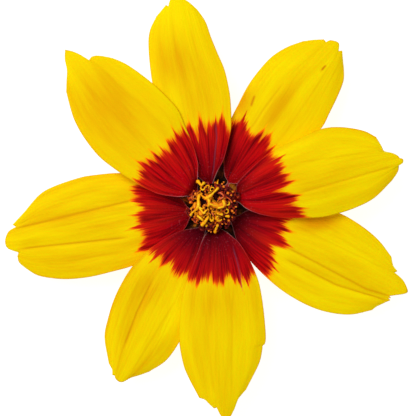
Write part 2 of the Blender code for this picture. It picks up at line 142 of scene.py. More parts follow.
# Makes a mesh of a grid of points, given in mm as rows and columns. Its faces point up when rows run away
# from the middle and columns run clockwise. attributes are arrays of the same rows and columns, by name.
def gridMesh(name, points, attributes=None, closed=False):
    rows, columns = points.shape[:2]
    number = np.arange(rows * columns).reshape(rows, columns)
    corners = [number[:-1, :-1], number[:-1, 1:], number[1:, 1:], number[1:, :-1]]
    faces = np.stack(corners, axis=-1).reshape(-1, 4)
    mesh = bpy.data.meshes.new(name)
    mesh.from_pydata((points.reshape(-1, 3) * mm).tolist(), [], faces.tolist())
    for label, values in (attributes or {}).items():
        vector = values.ndim == 3
        layer = mesh.attributes.new(label, "FLOAT_VECTOR" if vector else "FLOAT", "POINT")
        layer.data.foreach_set("vector" if vector else "value", values.astype(np.float32).ravel())
    if closed:
        work = bmesh.new()
        work.from_mesh(mesh)
        bmesh.ops.remove_doubles(work, verts=work.verts, dist=mergeDistance)
        work.to_mesh(mesh)
        work.free()
    mesh.shade_smooth()
    return mesh


# A shape turned round the Z axis, from a profile of (radius, height) that runs from its top to its foot
def turnedMesh(name, profile, steps):
    profile = np.array(profile)
    turn = np.linspace(0.0, -math.tau, steps + 1)
    across = profile[:, :1] * np.cos(turn), profile[:, :1] * np.sin(turn)
    height = np.broadcast_to(profile[:, 1:], across[0].shape)
    return gridMesh(name, np.stack([*across, height], axis=-1), closed=True)


# Camera, floor and light
studio = {
    "viewMiddle": (-0.66, -0.24, 5.5),  # mm, what the middle of the picture shows
    "viewWidth": 49.92,  # mm across the picture, 0.12 for each of its 416 pixels
    "lens": 400.0,
    "farthest": 100.0,  # metres that the camera sees
    "keyFrom": (-0.46, 0.43, 1.15),  # direction to the soft light
    "keyDistance": 420.0,
    "keySize": 220.0,
    "keyPower": 1.14,
    "skyStrength": 0.48,
    "floorGlow": 0.86,
    "floorReach": 3.0,  # metres to each side
}


def makeStudio():
    scene = bpy.context.scene
    scene.view_settings.view_transform = "Standard"
    camera = newObject("camera", bpy.data.cameras.new("camera"))
    camera.data.lens = studio["lens"]
    camera.data.clip_end = studio["farthest"]
    away = studio["viewWidth"] * studio["lens"] / camera.data.sensor_width
    camera.location = (Vector(studio["viewMiddle"]) + Vector((0.0, 0.0, away))) * mm
    scene.camera = camera

    key = newObject("keyLight", bpy.data.lights.new("keyLight", "AREA"))
    towards = Vector(studio["keyFrom"]).normalized()
    key.location = towards * studio["keyDistance"] * mm
    key.rotation_euler = towards.to_track_quat("Z", "Y").to_euler()
    key.data.size = studio["keySize"] * mm
    key.data.energy = studio["keyPower"]

    world = bpy.data.worlds.new("softbox")
    world.use_nodes = True
    world.node_tree.nodes["Background"].inputs["Color"].default_value = linear("#FFFFFF")
    world.node_tree.nodes["Background"].inputs["Strength"].default_value = studio["skyStrength"]
    scene.world = world

    # White acrylic that glows a little, as on a light table, so that the head's shadow on it stays faint
    acrylic, _, _ = newMaterial(
        "whiteAcrylic",
        Base_Color=linear("#9C9C9C"),
        Roughness=0.6,
        Specular_IOR_Level=0.2,
        Emission_Color=linear("#FFFFFF"),
        Emission_Strength=studio["floorGlow"],
    )
    mesh = bpy.data.meshes.new("floor")
    far = studio["floorReach"]
    mesh.from_pydata([(-far, -far, 0), (far, -far, 0), (far, far, 0), (-far, far, 0)], [], [(0, 1, 2, 3)])
    mesh.materials.append(acrylic)
    newObject("floor", mesh)
    print("studio: camera, key light and floor")


# Petals, as (along the petal from the head's middle, across it) in mm. azimuth and foot are degrees from +X.
# eye is the red eye's edge as (degrees, mm from the head's middle), from the petal's right side to its left,
# and eyeInset draws it in. corners are the tip's sharp points, counted from 1. layer counts from the lowest
# petals up, lift raises the tip, and rightDrop lowers the right edge. creases are lines that sink into the
# blade, which slopes gently on their left where gentleSide is 1 and on their right where it is -1, and that
# are also painted with shade, and fineCreases are only painted shade lines, without relief. ripe makes the
# yellow paler where it is above 0. patches are soft amber places, or paler ones where their strength is below
# 0, as (along, across, reach along, reach across, strength); some amber ones are painted shadow where a
# higher petal shades this one, and a paler one is painted light that lifts such a shadow. banding is how
# strongly the yellow varies across, and heart is how dark the red turns towards the foot. veins are thin
# lilac lines, dusks are painted shadow lines, nearly black on the red and amber on the yellow, and flecks are
# short brown ones. A petal may leave out rightDrop, fineCreases, patches, veins, dusks, flecks and eyeInset.
petals = [
    {
        "piece": "petalTop", "node": "ray_top",
        "azimuth": 99.8, "foot": 100.0, "layer": 1, "lift": 0.5,
        "left": [
            (4.2, 1.5), (6.0, 2.5), (9.0, 3.7), (12.5, 4.5), (16.0, 4.7), (20.0, 4.4), (22.0, 3.9),
            (23.6, 2.8),
        ],
        "tip": [
            (24.2, 2.1), (24.7, 1.5), (24.5, 1.25), (25.25, 0.9), (25.3, 0.4), (25.3, -0.1), (25.1, -0.5),
            (24.9, -0.9), (24.4, -1.4),
        ],
        "right": [
            (3.9, -1.1), (5.1, -2.0), (6.2, -2.6), (9.0, -3.7), (12.0, -4.15), (14.0, -4.2), (16.0, -4.05),
            (18.0, -3.55), (20.0, -3.1), (22.0, -2.75), (23.6, -2.0),
        ],
        "corners": (2, 3), "gentleSide": 1, "creaseDepth": 0.18,
        "creases": [[(9.0, 1.5), (17.0, 1.4), (23.0, 1.0)], [(12.0, -1.4), (22.0, -0.9)]],
        "ripe": 0.0, "banding": 0.45, "heart": 0.55,
        "patches": [
            (18.2, 1.6, 3.2, 1.9, 0.5), (12.5, 0.0, 3.5, 3.0, 0.25), (24.0, 0.5, 4.0, 4.0, -0.5),
            # painted light: this paler patch lifts the shadow that the upper left petal's edge casts here
            (12.5, 2.6, 3.0, 1.2, -0.5),
        ],
        "veins": [[(3.2, -0.3), (4.3, -0.75), (6.2, -1.25), (8.0, -1.77), (9.5, -1.9)]],
        "eye": [
            (78.6, 9.1), (80.7, 9.5), (82.5, 10.3), (83.6, 10.4), (84.6, 11.3), (86.1, 10.4), (87.1, 9.9),
            (88.9, 10.7), (90.0, 9.7), (90.7, 9.6), (93.2, 10.4), (95.7, 9.0), (99.1, 11.2), (101.6, 9.2),
            (103.2, 8.0), (104.4, 9.3), (105.9, 10.5), (107.9, 10.0), (109.6, 9.9), (112.0, 9.4),
        ],
    },
    {
        "piece": "petalUpperRight", "node": "ray_upper_right",
        "azimuth": 52.9, "foot": 54.0, "layer": 0, "lift": 0.2,
        "left": [
            (3.4, 0.45), (3.9, 1.35), (6.0, 2.9), (8.0, 4.0), (9.5, 4.6), (11.6, 5.0), (13.9, 5.4),
            (16.1, 5.45), (18.5, 5.2), (20.6, 4.4), (22.3, 3.3),
        ],
        "tip": [
            (23.2, 2.4), (23.95, 1.5), (23.85, 1.1), (24.35, 0.8), (24.7, 0.0), (24.5, -0.4), (23.9, -0.75),
            (24.2, -1.05), (23.8, -1.4),
        ],
        "right": [
            (3.3, 0.1), (3.9, -0.7), (5.5, -1.95), (8.0, -3.3), (11.0, -4.3), (15.1, -4.7), (17.3, -4.35),
            (19.7, -3.85), (21.5, -3.3), (22.7, -2.4),
        ],
        "corners": (2, 3, 7, 8), "gentleSide": 1, "creaseDepth": 0.5,
        "creases": [[(9.5, 2.0), (13.0, 2.2), (16.5, 2.2)]],
        "fineCreases": [[(12.0, -1.6), (22.0, -1.0)]],
        "ripe": 0.14, "banding": 0.7, "heart": 0.25,
        "patches": [(13.5, 0.9, 3.2, 1.0, 0.45)],
        "paintedShadows": [[(3.5, 1.4), (6.0, 2.5), (8.5, 3.6)], [(10.4, 4.5), (13.5, 5.2)]],
        "flecks": [[(12.3, 3.65), (13.5, 4.05)], [(20.8, -0.5), (21.6, -0.55)]],
        "eye": [
            (40.0, 9.3), (43.5, 9.2), (44.6, 10.7), (46.1, 9.0), (47.9, 10.0), (49.3, 10.3), (51.4, 11.1),
            (54.6, 9.9), (56.6, 11.3), (58.2, 10.1), (60.0, 9.6), (63.6, 9.65), (64.3, 10.1), (66.8, 10.1),
            (67.9, 10.7), (70.0, 10.7), (70.7, 12.4), (72.5, 10.4), (75.0, 10.4), (77.9, 10.3),
            (80.0, 10.2),
        ],
    },
    {
        "piece": "petalRight", "node": "ray_right",
        "azimuth": 13.9, "foot": 17.0, "layer": 2, "lift": -0.4, "rightDrop": 0.6,
        "left": [
            (3.1, 0.9), (3.35, 1.9), (4.5, 2.75), (5.8, 3.5), (7.5, 4.35), (9.2, 4.9), (12.0, 5.4),
            (14.7, 5.85), (17.0, 5.5), (19.5, 4.45), (20.9, 3.3),
        ],
        "tip": [
            (21.2, 2.2), (21.3, 1.6), (21.6, 1.2), (22.3, 1.0), (22.8, 0.6), (23.0, 0.25), (23.35, 0.0),
            (23.25, -0.4), (22.75, -0.5), (22.4, -1.3),
        ],
        "right": [
            (3.1, -0.35), (3.8, -1.3), (4.7, -2.0), (5.8, -2.6), (8.1, -3.5), (11.9, -4.35), (14.4, -4.45),
            (16.8, -4.2), (19.0, -3.6), (21.5, -2.1),
        ],
        "corners": (2, 6, 9), "gentleSide": 1, "creaseDepth": 0.6,
        "creases": [[(10.5, -0.9), (22.0, -0.5)]],
        "fineCreases": [[(11.0, 2.6), (19.0, 1.9)]],
        "ripe": 0.1, "banding": 0.8, "heart": 0.1,
        "paintedShadows": [[(2.5, 1.3), (4.4, 1.7)]],
        "eye": [
            (-11.0, 9.4), (-8.4, 10.4), (-6.6, 11.1), (-5.4, 10.6), (-2.9, 10.3), (-0.9, 11.1), (-0.3, 9.7),
            (0.7, 9.1), (3.7, 10.0), (5.4, 9.65), (7.1, 10.4), (8.6, 9.7), (10.7, 8.7), (12.5, 7.7),
            (14.3, 8.1), (15.0, 9.0), (17.4, 10.3), (19.3, 9.05), (23.0, 9.85), (25.4, 8.9), (27.1, 9.2),
            (28.2, 9.65), (31.1, 9.5), (32.1, 10.0), (33.7, 9.1), (35.7, 10.5), (38.2, 8.9), (41.4, 9.6),
            (43.2, 9.2), (46.0, 9.4),
        ],
    },
    {
        "piece": "petalLowerRight", "node": "ray_lower_right",
        "azimuth": 337.5, "foot": 325.0, "layer": 0, "lift": 0.4,
        "left": [
            (3.3, 0.2), (3.9, 1.0), (5.5, 2.3), (8.0, 3.7), (11.0, 4.6), (14.2, 5.0), (17.0, 4.65),
            (19.8, 3.8), (22.1, 2.5),
        ],
        "tip": [
            (22.7, 1.6), (23.4, 1.2), (23.1, 0.9), (24.4, 0.5), (25.4, -0.4), (25.3, -0.9), (24.0, -1.7),
            (23.65, -1.9), (23.9, -2.05), (23.6, -2.2), (23.95, -2.3), (23.2, -3.1), (22.7, -3.65),
        ],
        "right": [
            (3.1, -1.5), (4.1, -2.7), (5.5, -3.65), (6.6, -4.4), (9.5, -5.62), (12.2, -6.37), (15.2, -6.7),
            (17.8, -6.45), (20.3, -5.65), (22.4, -4.2),
        ],
        "corners": (2, 3, 7, 8, 9, 10, 11), "gentleSide": 1, "creaseDepth": 0.9,
        "creases": [[(10.0, -1.2), (20.8, -2.2), (23.5, -1.9)], [(10.8, -2.6), (17.3, -3.1), (23.5, -2.5)]],
        "fineCreases": [[(10.0, 1.6), (22.0, 0.9)]],
        "ripe": 0.2, "banding": 0.9, "heart": 0.9,
        # painted shadow: this patch and the second of the dusks are amber where the right petal's edge shades
        # this one
        "patches": [(11.5, 3.2, 2.8, 1.0, 0.9)],
        "paintedShadows": [
            [(3.5, 0.6), (5.5, 2.0), (8.0, 3.2), (9.5, 3.8)], [(10.3, 2.0), (12.4, 2.75), (14.2, 4.1)],
        ],
        "eye": [
            (303.0, 9.6), (305.7, 9.9), (307.7, 11.1), (309.3, 10.3), (310.6, 10.6), (311.8, 10.4),
            (313.6, 10.0), (314.6, 11.7), (315.6, 9.7), (317.0, 9.8), (318.4, 10.2), (319.6, 9.1),
            (322.1, 9.2), (324.3, 8.6), (326.1, 8.45), (327.5, 8.7), (329.3, 9.9), (331.0, 9.9),
            (332.1, 10.7), (333.2, 9.7), (335.4, 9.7), (337.1, 8.5), (339.6, 9.0), (342.0, 9.65),
            (345.0, 8.7), (347.9, 8.9), (350.0, 9.2), (353.0, 9.0),
        ],
    },
    {
        "piece": "petalBottom", "node": "ray_bottom",
        "azimuth": 272.9, "foot": 277.0, "layer": 2, "lift": -0.1,
        "left": [
            (3.2, 1.4), (3.9, 2.2), (4.8, 3.0), (6.7, 4.0), (9.0, 4.85), (11.0, 5.2), (13.5, 5.4),
            (15.8, 5.45), (16.75, 5.3), (17.0, 5.0), (17.6, 4.9), (19.2, 4.4), (22.2, 2.7),
        ],
        "tip": [
            (23.3, 1.7), (24.5, 1.2), (25.3, 0.7), (25.5, 0.1), (25.1, -0.4), (24.1, -0.85), (24.2, -1.15),
            (23.7, -1.65), (23.1, -2.2),
        ],
        "right": [
            (3.2, -1.0), (4.1, -1.6), (5.4, -2.15), (6.8, -2.8), (8.9, -3.7), (10.6, -4.3), (13.2, -4.7),
            (15.9, -4.9), (18.6, -4.55), (20.3, -4.0), (22.9, -2.8),
        ],
        "corners": (6, 7), "gentleSide": -1, "creaseDepth": 0.3,
        "creases": [[(11.0, 1.7), (22.0, 1.0)], [(11.0, -1.7), (22.0, -1.1)]],
        "ripe": 0.14, "banding": 0.6, "heart": 0.85,
        "patches": [(11.5, 0.0, 3.0, 3.5, 0.35)],
        "veins": [[(5.2, 2.1), (7.1, 2.54), (9.2, 2.86), (10.4, 2.9)]],
        "paintedShadows": [[(1.0, -0.4), (4.2, -0.6)]],
        "eyeInset": 0.15,
        "eye": [
            (247.0, 9.0), (250.7, 9.4), (253.6, 9.65), (255.7, 9.05), (258.4, 10.3), (260.7, 8.9),
            (262.9, 8.8), (265.0, 9.0), (266.1, 9.2), (268.2, 8.1), (269.3, 9.0), (272.1, 9.75),
            (274.6, 9.0), (277.5, 9.8), (280.7, 8.6), (283.2, 8.5), (285.1, 9.7), (287.9, 9.1),
            (289.1, 10.9), (290.6, 9.6), (292.5, 9.1), (293.4, 11.1), (294.6, 10.1), (297.1, 9.65),
            (300.0, 9.55), (303.0, 9.3),
        ],
    },
    {
        "piece": "petalLowerLeft", "node": "ray_lower_left",
        "azimuth": 242.1, "foot": 245.0, "layer": 1, "lift": -0.5,
        "left": [(4.0, 0.9), (6.0, 2.1), (9.0, 3.3), (12.5, 4.0), (16.2, 4.0), (19.0, 3.6), (21.2, 2.4)],
        "tip": [
            (22.0, 1.7), (22.8, 0.9), (23.4, 0.5), (23.7, 0.3), (23.9, 0.0), (23.9, -0.4), (23.75, -0.75),
            (23.5, -0.95), (23.6, -1.2), (23.1, -1.4),
        ],
        "right": [
            (3.2, -0.5), (4.2, -1.8), (5.1, -2.6), (6.0, -3.2), (7.1, -3.85), (8.3, -4.4), (10.9, -5.2),
            (13.2, -5.4), (15.5, -5.3), (18.0, -4.8), (20.1, -4.1), (22.6, -2.2),
        ],
        "corners": (8, 9, 10), "gentleSide": -1, "creaseDepth": 1.1,
        "creases": [[(11.3, -2.3), (15.5, -2.15), (19.7, -1.6)]],
        "fineCreases": [[(12.7, 1.2), (22.2, 0.6)]],
        "ripe": 0.03, "banding": 0.9, "heart": 1.0,
        "patches": [(12.3, -1.6, 2.6, 0.7, 0.5), (12.5, -4.0, 3.0, 1.0, 0.3), (14.0, 2.3, 3.5, 1.3, -0.5)],
        "eye": [
            (212.0, 9.6), (215.4, 9.4), (219.3, 9.1), (221.3, 10.1), (223.9, 8.5), (226.1, 9.1),
            (228.6, 9.25), (229.1, 9.65), (230.2, 9.2), (232.1, 8.45), (234.6, 8.5), (237.1, 9.25),
            (240.0, 9.1), (241.4, 9.0), (243.9, 9.55), (247.3, 8.6), (250.0, 9.2), (253.0, 9.4),
        ],
    },
    {
        "piece": "petalLeft", "node": "ray_left",
        "azimuth": 188.9, "foot": 195.0, "layer": 0, "lift": 0.0,
        "left": [
            (3.1, 1.1), (3.8, 2.1), (6.0, 3.9), (8.0, 4.9), (10.7, 5.6), (13.2, 5.9), (15.9, 6.1),
            (18.5, 5.95), (20.4, 5.55), (22.2, 4.9), (23.45, 3.85),
        ],
        "tip": [
            (24.1, 3.1), (24.2, 2.3), (24.0, 1.9), (25.2, 1.2), (25.4, 0.4), (25.1, -0.4), (24.6, -0.9),
            (23.7, -1.1), (24.2, -1.5),
        ],
        "right": [
            (3.1, -0.4), (3.9, -1.7), (6.0, -3.6), (8.0, -4.8), (10.5, -5.65), (13.9, -5.9), (15.7, -5.8),
            (18.6, -5.25), (20.5, -4.5), (22.7, -2.6),
        ],
        "corners": (2, 3, 8, 9), "gentleSide": -1, "creaseDepth": 1.1,
        "creases": [[(9.3, -2.2), (14.5, -1.75), (23.6, -1.0)], [(11.2, 2.1), (23.5, 1.5)]],
        "fineCreases": [[(11.9, 3.7), (19.2, 3.8)], [(10.5, -1.0), (18.0, -0.5)]],
        "ripe": 0.0, "banding": 1.0, "heart": 0.5,
        "paintedShadows": [[(3.5, -1.2), (6.0, -3.2), (8.5, -4.6), (9.5, -5.2)]],
        "eyeInset": 0.27,
        "eye": [
            (162.0, 9.2), (165.0, 9.8), (168.6, 10.1), (169.3, 10.4), (172.9, 9.5), (175.4, 10.1),
            (176.6, 10.0), (178.6, 9.1), (180.7, 9.05), (183.2, 8.45), (186.3, 10.25), (188.6, 9.1),
            (190.4, 9.6), (192.9, 9.0), (195.4, 10.7), (198.9, 9.0), (200.0, 9.0), (202.1, 9.6),
            (204.3, 9.25), (207.5, 10.1), (208.9, 9.8), (210.4, 11.1), (213.2, 10.0), (216.0, 9.4),
        ],
    },
    {
        "piece": "petalUpperLeft", "node": "ray_upper_left",
        "azimuth": 133.5, "foot": 142.0, "layer": 2, "lift": 0.3, "rightDrop": 0.42,
        "left": [
            (3.6, 2.2), (5.3, 3.6), (6.5, 4.2), (7.9, 4.7), (9.3, 5.05), (10.7, 5.4), (13.7, 5.85),
            (16.5, 5.6), (18.8, 5.0), (20.5, 4.2), (22.1, 3.3),
        ],
        "tip": [
            (23.0, 2.4), (23.9, 1.5), (25.0, 0.8), (25.8, 0.0), (25.05, -0.5), (24.1, -0.9), (22.9, -1.2),
            (23.0, -1.7), (22.7, -2.2),
        ],
        "right": [
            (3.8, -1.0), (4.4, -1.6), (5.2, -2.3), (7.1, -3.3), (9.2, -4.05), (11.1, -4.8), (13.0, -4.95),
            (15.7, -4.8), (19.0, -4.2), (20.9, -3.5), (22.1, -2.7),
        ],
        "corners": (4, 7, 8), "gentleSide": 1, "creaseDepth": 0.25,
        "creases": [[(11.0, 1.1), (21.0, 1.0)], [(11.0, -2.2), (21.0, -1.6)]],
        "ripe": -0.08, "banding": 0.5, "heart": 0.0,
        "patches": [(17.0, 0.9, 5.0, 2.2, 0.55), (24.8, 0.5, 3.5, 3.0, -0.4), (17.5, -4.2, 5.0, 1.2, -0.3)],
        "paintedShadows": [[(2.0, -0.4), (4.2, -0.5)]],
        "eyeInset": 0.25,
        "eye": [
            (107.0, 9.0), (110.0, 9.3), (111.8, 10.8), (113.0, 9.7), (114.3, 10.1), (115.7, 9.65),
            (118.2, 10.7), (120.0, 9.15), (121.1, 9.5), (125.0, 9.7), (126.4, 9.6), (128.6, 8.5),
            (130.6, 8.9), (132.1, 9.6), (134.6, 8.8), (136.5, 9.0), (139.1, 10.3), (142.1, 8.9),
            (145.0, 10.3), (147.5, 9.4), (149.3, 11.2), (152.5, 9.65), (155.0, 10.4), (158.6, 9.4),
            (161.1, 10.1), (163.2, 9.7), (166.0, 9.5),
        ],
    },
]

# How every petal is built, in mm: its foot, how it rises and sags outwards, and how the layers part
petalForm = {
    "rows": 120,
    "columns": 80,
    "thickness": 0.34,
    "edgeThickness": 0.35,  # share of the thickness that is left at the edges
    "footRadius": 2.65,
    "footHalfWidth": 0.35,
    "footHeight": 4.5,
    "rise": 0.8,
    "riseEnd": 8.0,
    "sag": 1.6,
    "sagEnd": 25.0,
    "layerStepAtFoot": 0.45,
    "layerStep": 1.0,
    "layerStepEnd": 4.0,
    "overlapEnd": 15.0,
    "freeStart": 20.0,
    "edgeDrop": (0.3, 0.1, 0.3),  # by layer
    "edgeDropAtTip": 0.45,
    "outlineGrowth": 0.05,  # how much further out the blade reaches than its points, towards the tip
    "growthRange": (14.0, 20.0),  # from where the blade reaches further out, and where it does in full
    "tipShare": 0.28,  # share of the blade whose rows bend towards the tip's outline
    "tipBlend": 1.5,  # above 1 makes them bend late
    "creaseDepth": 0.16,  # for a petal whose own creaseDepth is 1
    "fineCreaseStrength": 0.4,
    "veinStrength": 0.55,
    "paintedShadowStrength": 0.8,
    # Lines, as (the petal's list, reach on the gentle side, reach on the steep side, length of fading)
    "lines": {
        "fold": ("creases", 1.1, 0.3, 1.2),
        "crease": ("creases", 0.14, 0.14, 1.0),
        "fineCrease": ("fineCreases", 0.14, 0.14, 1.5),
        "vein": ("veins", 0.08, 0.08, 0.5),
        "dusk": ("paintedShadows", 1.0, 1.0, 1.5),
        "fleck": ("flecks", 0.13, 0.13, 0.2),
    },
    "edgeWidth": 1.2,  # over which the blade thins to its edges
    "toothSpan": 5,  # points of the eye's edge that are averaged, to see which ones stand out as teeth
    "toothGain": 0.4,  # how much longer the eye's teeth are than their points say
    "eyeBend": 1.5,  # above 1 makes the eye's teeth slender
    "haloSpread": (-3.0, -1.5, 0.0, 1.5, 3.0),  # degrees over which the orange halo evens out the eye's edge
    "heartRadii": (9.5, 3.0),  # from where the red darkens, and where it is darkest
    "reliefRadii": (3.0, 9.0),  # from where veins and swell rise, and where they are full
    "veinCount": 21.0,
    "veinHeight": 0.02,
    "swellHeight": 0.14,
    "swellScale": (5.5, 0.11, 9.7),  # how fine the swell is across and along, and how it differs by petal
}


# The tip's outline through its points. It bends smoothly, apart from its corners.
def tipCurve(points, corners, count):
    points = np.array(points, dtype=float)
    place = np.linspace(0.0, len(points) - 1.0, count)
    start = np.minimum(place.astype(int), len(points) - 2)
    t = (place - start)[:, None]
    slope = np.gradient(points, axis=0)
    step = np.diff(points, axis=0)
    sharp = np.isin(np.arange(len(points)), corners)
    leaving = np.where(sharp[start, None], step[start], slope[start])
    arriving = np.where(sharp[start + 1, None], step[start], slope[start + 1])
    ease = t * t * (3.0 - 2.0 * t)
    bend = leaving * (t - 2.0 * t**2 + t**3) + arriving * (t**3 - t**2)
    return points[start] * (1.0 - ease) + points[start + 1] * ease + bend


# How strongly lines on a blade show at each point, from 0 to 1. A line is (along, across) points in mm, and
# fades in and out over the given length. widths are its reach to the left and to the right.
def linesAt(lines, widths, fade, along, across):
    strength = np.zeros_like(along)
    for line in lines:
        places, middles = np.array(line).T
        shown = smoothStep(places[0] - fade, places[0] + fade, along)
        shown = shown * (1.0 - smoothStep(places[-1] - fade, places[-1] + fade, along))
        aside = across - np.interp(along, places, middles)
        aside = aside / np.where(aside > 0.0, *widths)
        strength = np.maximum(strength, shown * np.exp(-(aside**2)))
    return strength


# How far inside the red eye each point lies, in mm along the radius. turn is in degrees, and reads the
# eye's edge beside the point.
def eyeAt(petal, x, y, turn=0.0):
    angle = np.degrees(np.arctan2(y, x)) + turn
    angle = petal["azimuth"] + (angle - petal["azimuth"] + 180.0) % 360.0 - 180.0
    angles, reaches = np.array(petal["eye"]).T
    span = petalForm["toothSpan"]
    nearby = np.convolve(np.pad(reaches, span // 2, "edge"), np.full(span, 1.0 / span), "valid")
    reaches = reaches + petalForm["toothGain"] * (reaches - nearby) - petal.get("eyeInset", 0.0)
    start = np.clip(np.searchsorted(angles, angle) - 1, 0, len(angles) - 2)
    share = np.clip((angle - angles[start]) / (angles[start + 1] - angles[start]), 0.0, 1.0)
    change = reaches[start + 1] - reaches[start]
    bend = petalForm["eyeBend"]
    share = np.where(change > 0, share**bend, 1.0 - (1.0 - share) ** bend)
    return reaches[start] + change * share - np.hypot(x, y)


def petalHeight(petal, along, across, side):
    form = petalForm
    radius = np.hypot(along, across)
    height = form["footHeight"] + form["rise"] * smoothStep(form["footRadius"], form["riseEnd"], radius)
    outer = np.maximum(radius - form["riseEnd"], 0) / (form["sagEnd"] - form["riseEnd"])
    height -= form["sag"] * outer**2
    parting = smoothStep(form["footRadius"], form["layerStepEnd"], radius)
    step = form["layerStepAtFoot"] + parting * (form["layerStep"] - form["layerStepAtFoot"])
    height += petal["layer"] * step
    free = smoothStep(form["overlapEnd"], form["freeStart"], radius)
    drop = form["edgeDrop"][petal["layer"]] + np.where(side > 0.0, petal.get("rightDrop", 0.0), 0.0)
    near = drop * smoothStep(form["layerStepEnd"], form["riseEnd"], radius)
    height -= (near + free * (form["edgeDropAtTip"] - near)) * side**2
    beyond = np.maximum(radius - form["overlapEnd"], 0) / (form["sagEnd"] - form["overlapEnd"])
    return height + petal["lift"] * beyond**2


def petalMesh(petal, number):
    form = petalForm
    turn = math.radians(petal["foot"] - petal["azimuth"])
    foot = np.array([math.cos(turn), math.sin(turn)]) * form["footRadius"]
    footSide = np.array([-math.sin(turn), math.cos(turn)]) * form["footHalfWidth"]
    left = evenCurve([foot + footSide] + petal["left"], form["rows"] + 1)
    right = evenCurve([foot - footSide] + petal["right"], form["rows"] + 1)
    growth = form["outlineGrowth"]
    left[:, 1] += growth * smoothStep(*form["growthRange"], left[:, 0])
    right[:, 1] -= growth * smoothStep(*form["growthRange"], right[:, 0])
    points = [(tipAlong + growth, tipAcross) for tipAlong, tipAcross in petal["tip"]]
    tip = tipCurve([left[-1]] + points + [right[-1]], petal["corners"], form["columns"] + 1)
    share = np.linspace(0.0, 1.0, form["columns"] + 1)[None, :, None]
    length = np.linspace(0.0, 1.0, form["rows"] + 1)[:, None, None]
    flat = left[:, None] * (1.0 - share) + right[:, None] * share
    reach = np.clip((length - 1.0 + form["tipShare"]) / form["tipShare"], 0.0, 1.0) ** form["tipBlend"]
    flat = flat + (tip - flat[-1]) * reach
    along, across = flat[..., 0], flat[..., 1]
    side = 2.0 * share[..., 0] - 1.0
    marks = {}
    for label, (source, gentle, steep, fade) in form["lines"].items():
        widths = (gentle, steep)[:: petal["gentleSide"]]
        marks[label] = linesAt(petal.get(source, []), widths, fade, along, across)
    fold = marks["fold"] * petal["creaseDepth"]
    fine = marks["fineCrease"] * form["fineCreaseStrength"]
    ripe = np.full_like(along, petal["ripe"])
    for middle, aside, reach, spread, strength in petal.get("patches", []):
        ripe -= strength * np.exp(-(((along - middle) / reach) ** 2) - ((across - aside) / spread) ** 2)
    height = petalHeight(petal, along, across, side) - fold * form["creaseDepth"]
    angle = math.radians(petal["azimuth"])
    x = along * math.cos(angle) - across * math.sin(angle)
    y = along * math.sin(angle) + across * math.cos(angle)
    width = np.linalg.norm(left - right, axis=1)[:, None]
    toSide = (1.0 - np.abs(side)) / 2.0 * width
    toTip = (1.0 - length[..., 0]) * along.max()
    acrossShare = np.broadcast_to(share[..., 0], along.shape)
    attributes = {
        # The share of the way across, the mm along, and the petal's number
        "blade": np.stack([acrossShare, along, np.full_like(along, number)], axis=-1),
        "eye": eyeAt(petal, x, y),
        "halo": np.mean([eyeAt(petal, x, y, turn) for turn in form["haloSpread"]], axis=0),
        # painted shade along the creases and the fine creases
        "crease": np.maximum(marks["crease"] * petal["creaseDepth"], fine),
        "fold": fold,
        "vein": marks["vein"] * form["veinStrength"],
        # painted shadow lines
        "dusk": marks["dusk"] * form["paintedShadowStrength"],
        "fleck": marks["fleck"],
        "ripe": ripe,
        "banding": np.full_like(along, petal["banding"]),
        "heart": petal["heart"] * smoothStep(*form["heartRadii"], np.hypot(x, y)),
        "rim": np.minimum(toSide, toTip),
        "radius": np.hypot(x, y),
    }
    return gridMesh(petal["piece"], np.stack([x, y, height], axis=-1), attributes)


# Raises a petal's veins and lets its blade swell unevenly between them
def bladeReliefTree():
    tree, given = newTree(
        "bladeRelief",
        {
            "Geometry": "Geometry",
            "Vein count": "Float",
            "Vein height": "Float",
            "Swell height": "Float",
            "Swell scale": "Vector",
            "Relief start": "Float",
            "Relief end": "Float",
            "Material": "Material",
        },
    )
    blade = addNode(tree, "GeometryNodeInputNamedAttribute", ["blade"], data_type="FLOAT_VECTOR")
    across = addNode(tree, "ShaderNodeSeparateXYZ", [blade])
    along = across.node.outputs["Y"]
    turns = addNode(tree, "ShaderNodeMath", [across, given["Vein count"]], operation="MULTIPLY")
    wave = addNode(tree, "ShaderNodeMath", [turns, 0.5], operation="PINGPONG")
    ridge = addNode(tree, "ShaderNodeMath", [wave, given["Vein height"]], operation="MULTIPLY")
    place = addNode(tree, "ShaderNodeVectorMath", [blade, given["Swell scale"]], operation="MULTIPLY")
    swell = addNode(tree, "ShaderNodeTexNoise", {"Vector": place, "Scale": 1.0, "Detail": 1.0})
    centred = addNode(tree, "ShaderNodeMath", [swell, 0.5], operation="SUBTRACT")
    raised = addNode(
        tree, "ShaderNodeMath", [centred, given["Swell height"], ridge], operation="MULTIPLY_ADD"
    )
    fade = addNode(
        tree, "ShaderNodeMapRange",
        {"Value": along, "From Min": given["Relief start"], "From Max": given["Relief end"]},
        interpolation_type="SMOOTHSTEP",
    )
    lift = addNode(tree, "ShaderNodeMath", [raised, fade], operation="MULTIPLY")
    offset = addNode(tree, "ShaderNodeCombineXYZ", {"Z": lift})
    moved = addNode(tree, "GeometryNodeSetPosition", {"Geometry": given["Geometry"], "Offset": offset})
    finishTree(tree, moved, given["Material"])
    return tree


# Petal tissue, a thin satin skin over juicy cells: light soaks in, and shadows turn to amber. Streaks follow
# the veins. The red eye's edge is feathered, with an orange halo where the red thins out. Shade in the
# creases and folds, shadows of higher petals, and light and shade on the thin edges are painted into the
# colour.
petalFinishes = {
    "rayPetalFace": {
        "yellow": [(0.0, "#E6AE00"), (0.45, "#EFCA00"), (1.0, "#F7DE00")],
        # fold is painted shade in the creases and beside the folds
        "fold": "#D49000",
        "redShare": 1.0,
        "roughness": 0.6,
    },
    "rayPetalUnderside": {
        "yellow": [(0.0, "#E0B008"), (0.45, "#E8C414"), (1.0, "#F0D428")],
        # fold is painted shade in the creases and beside the folds
        "fold": "#C89410",
        "redShare": 0.45,
        "roughness": 0.65,
    },
}

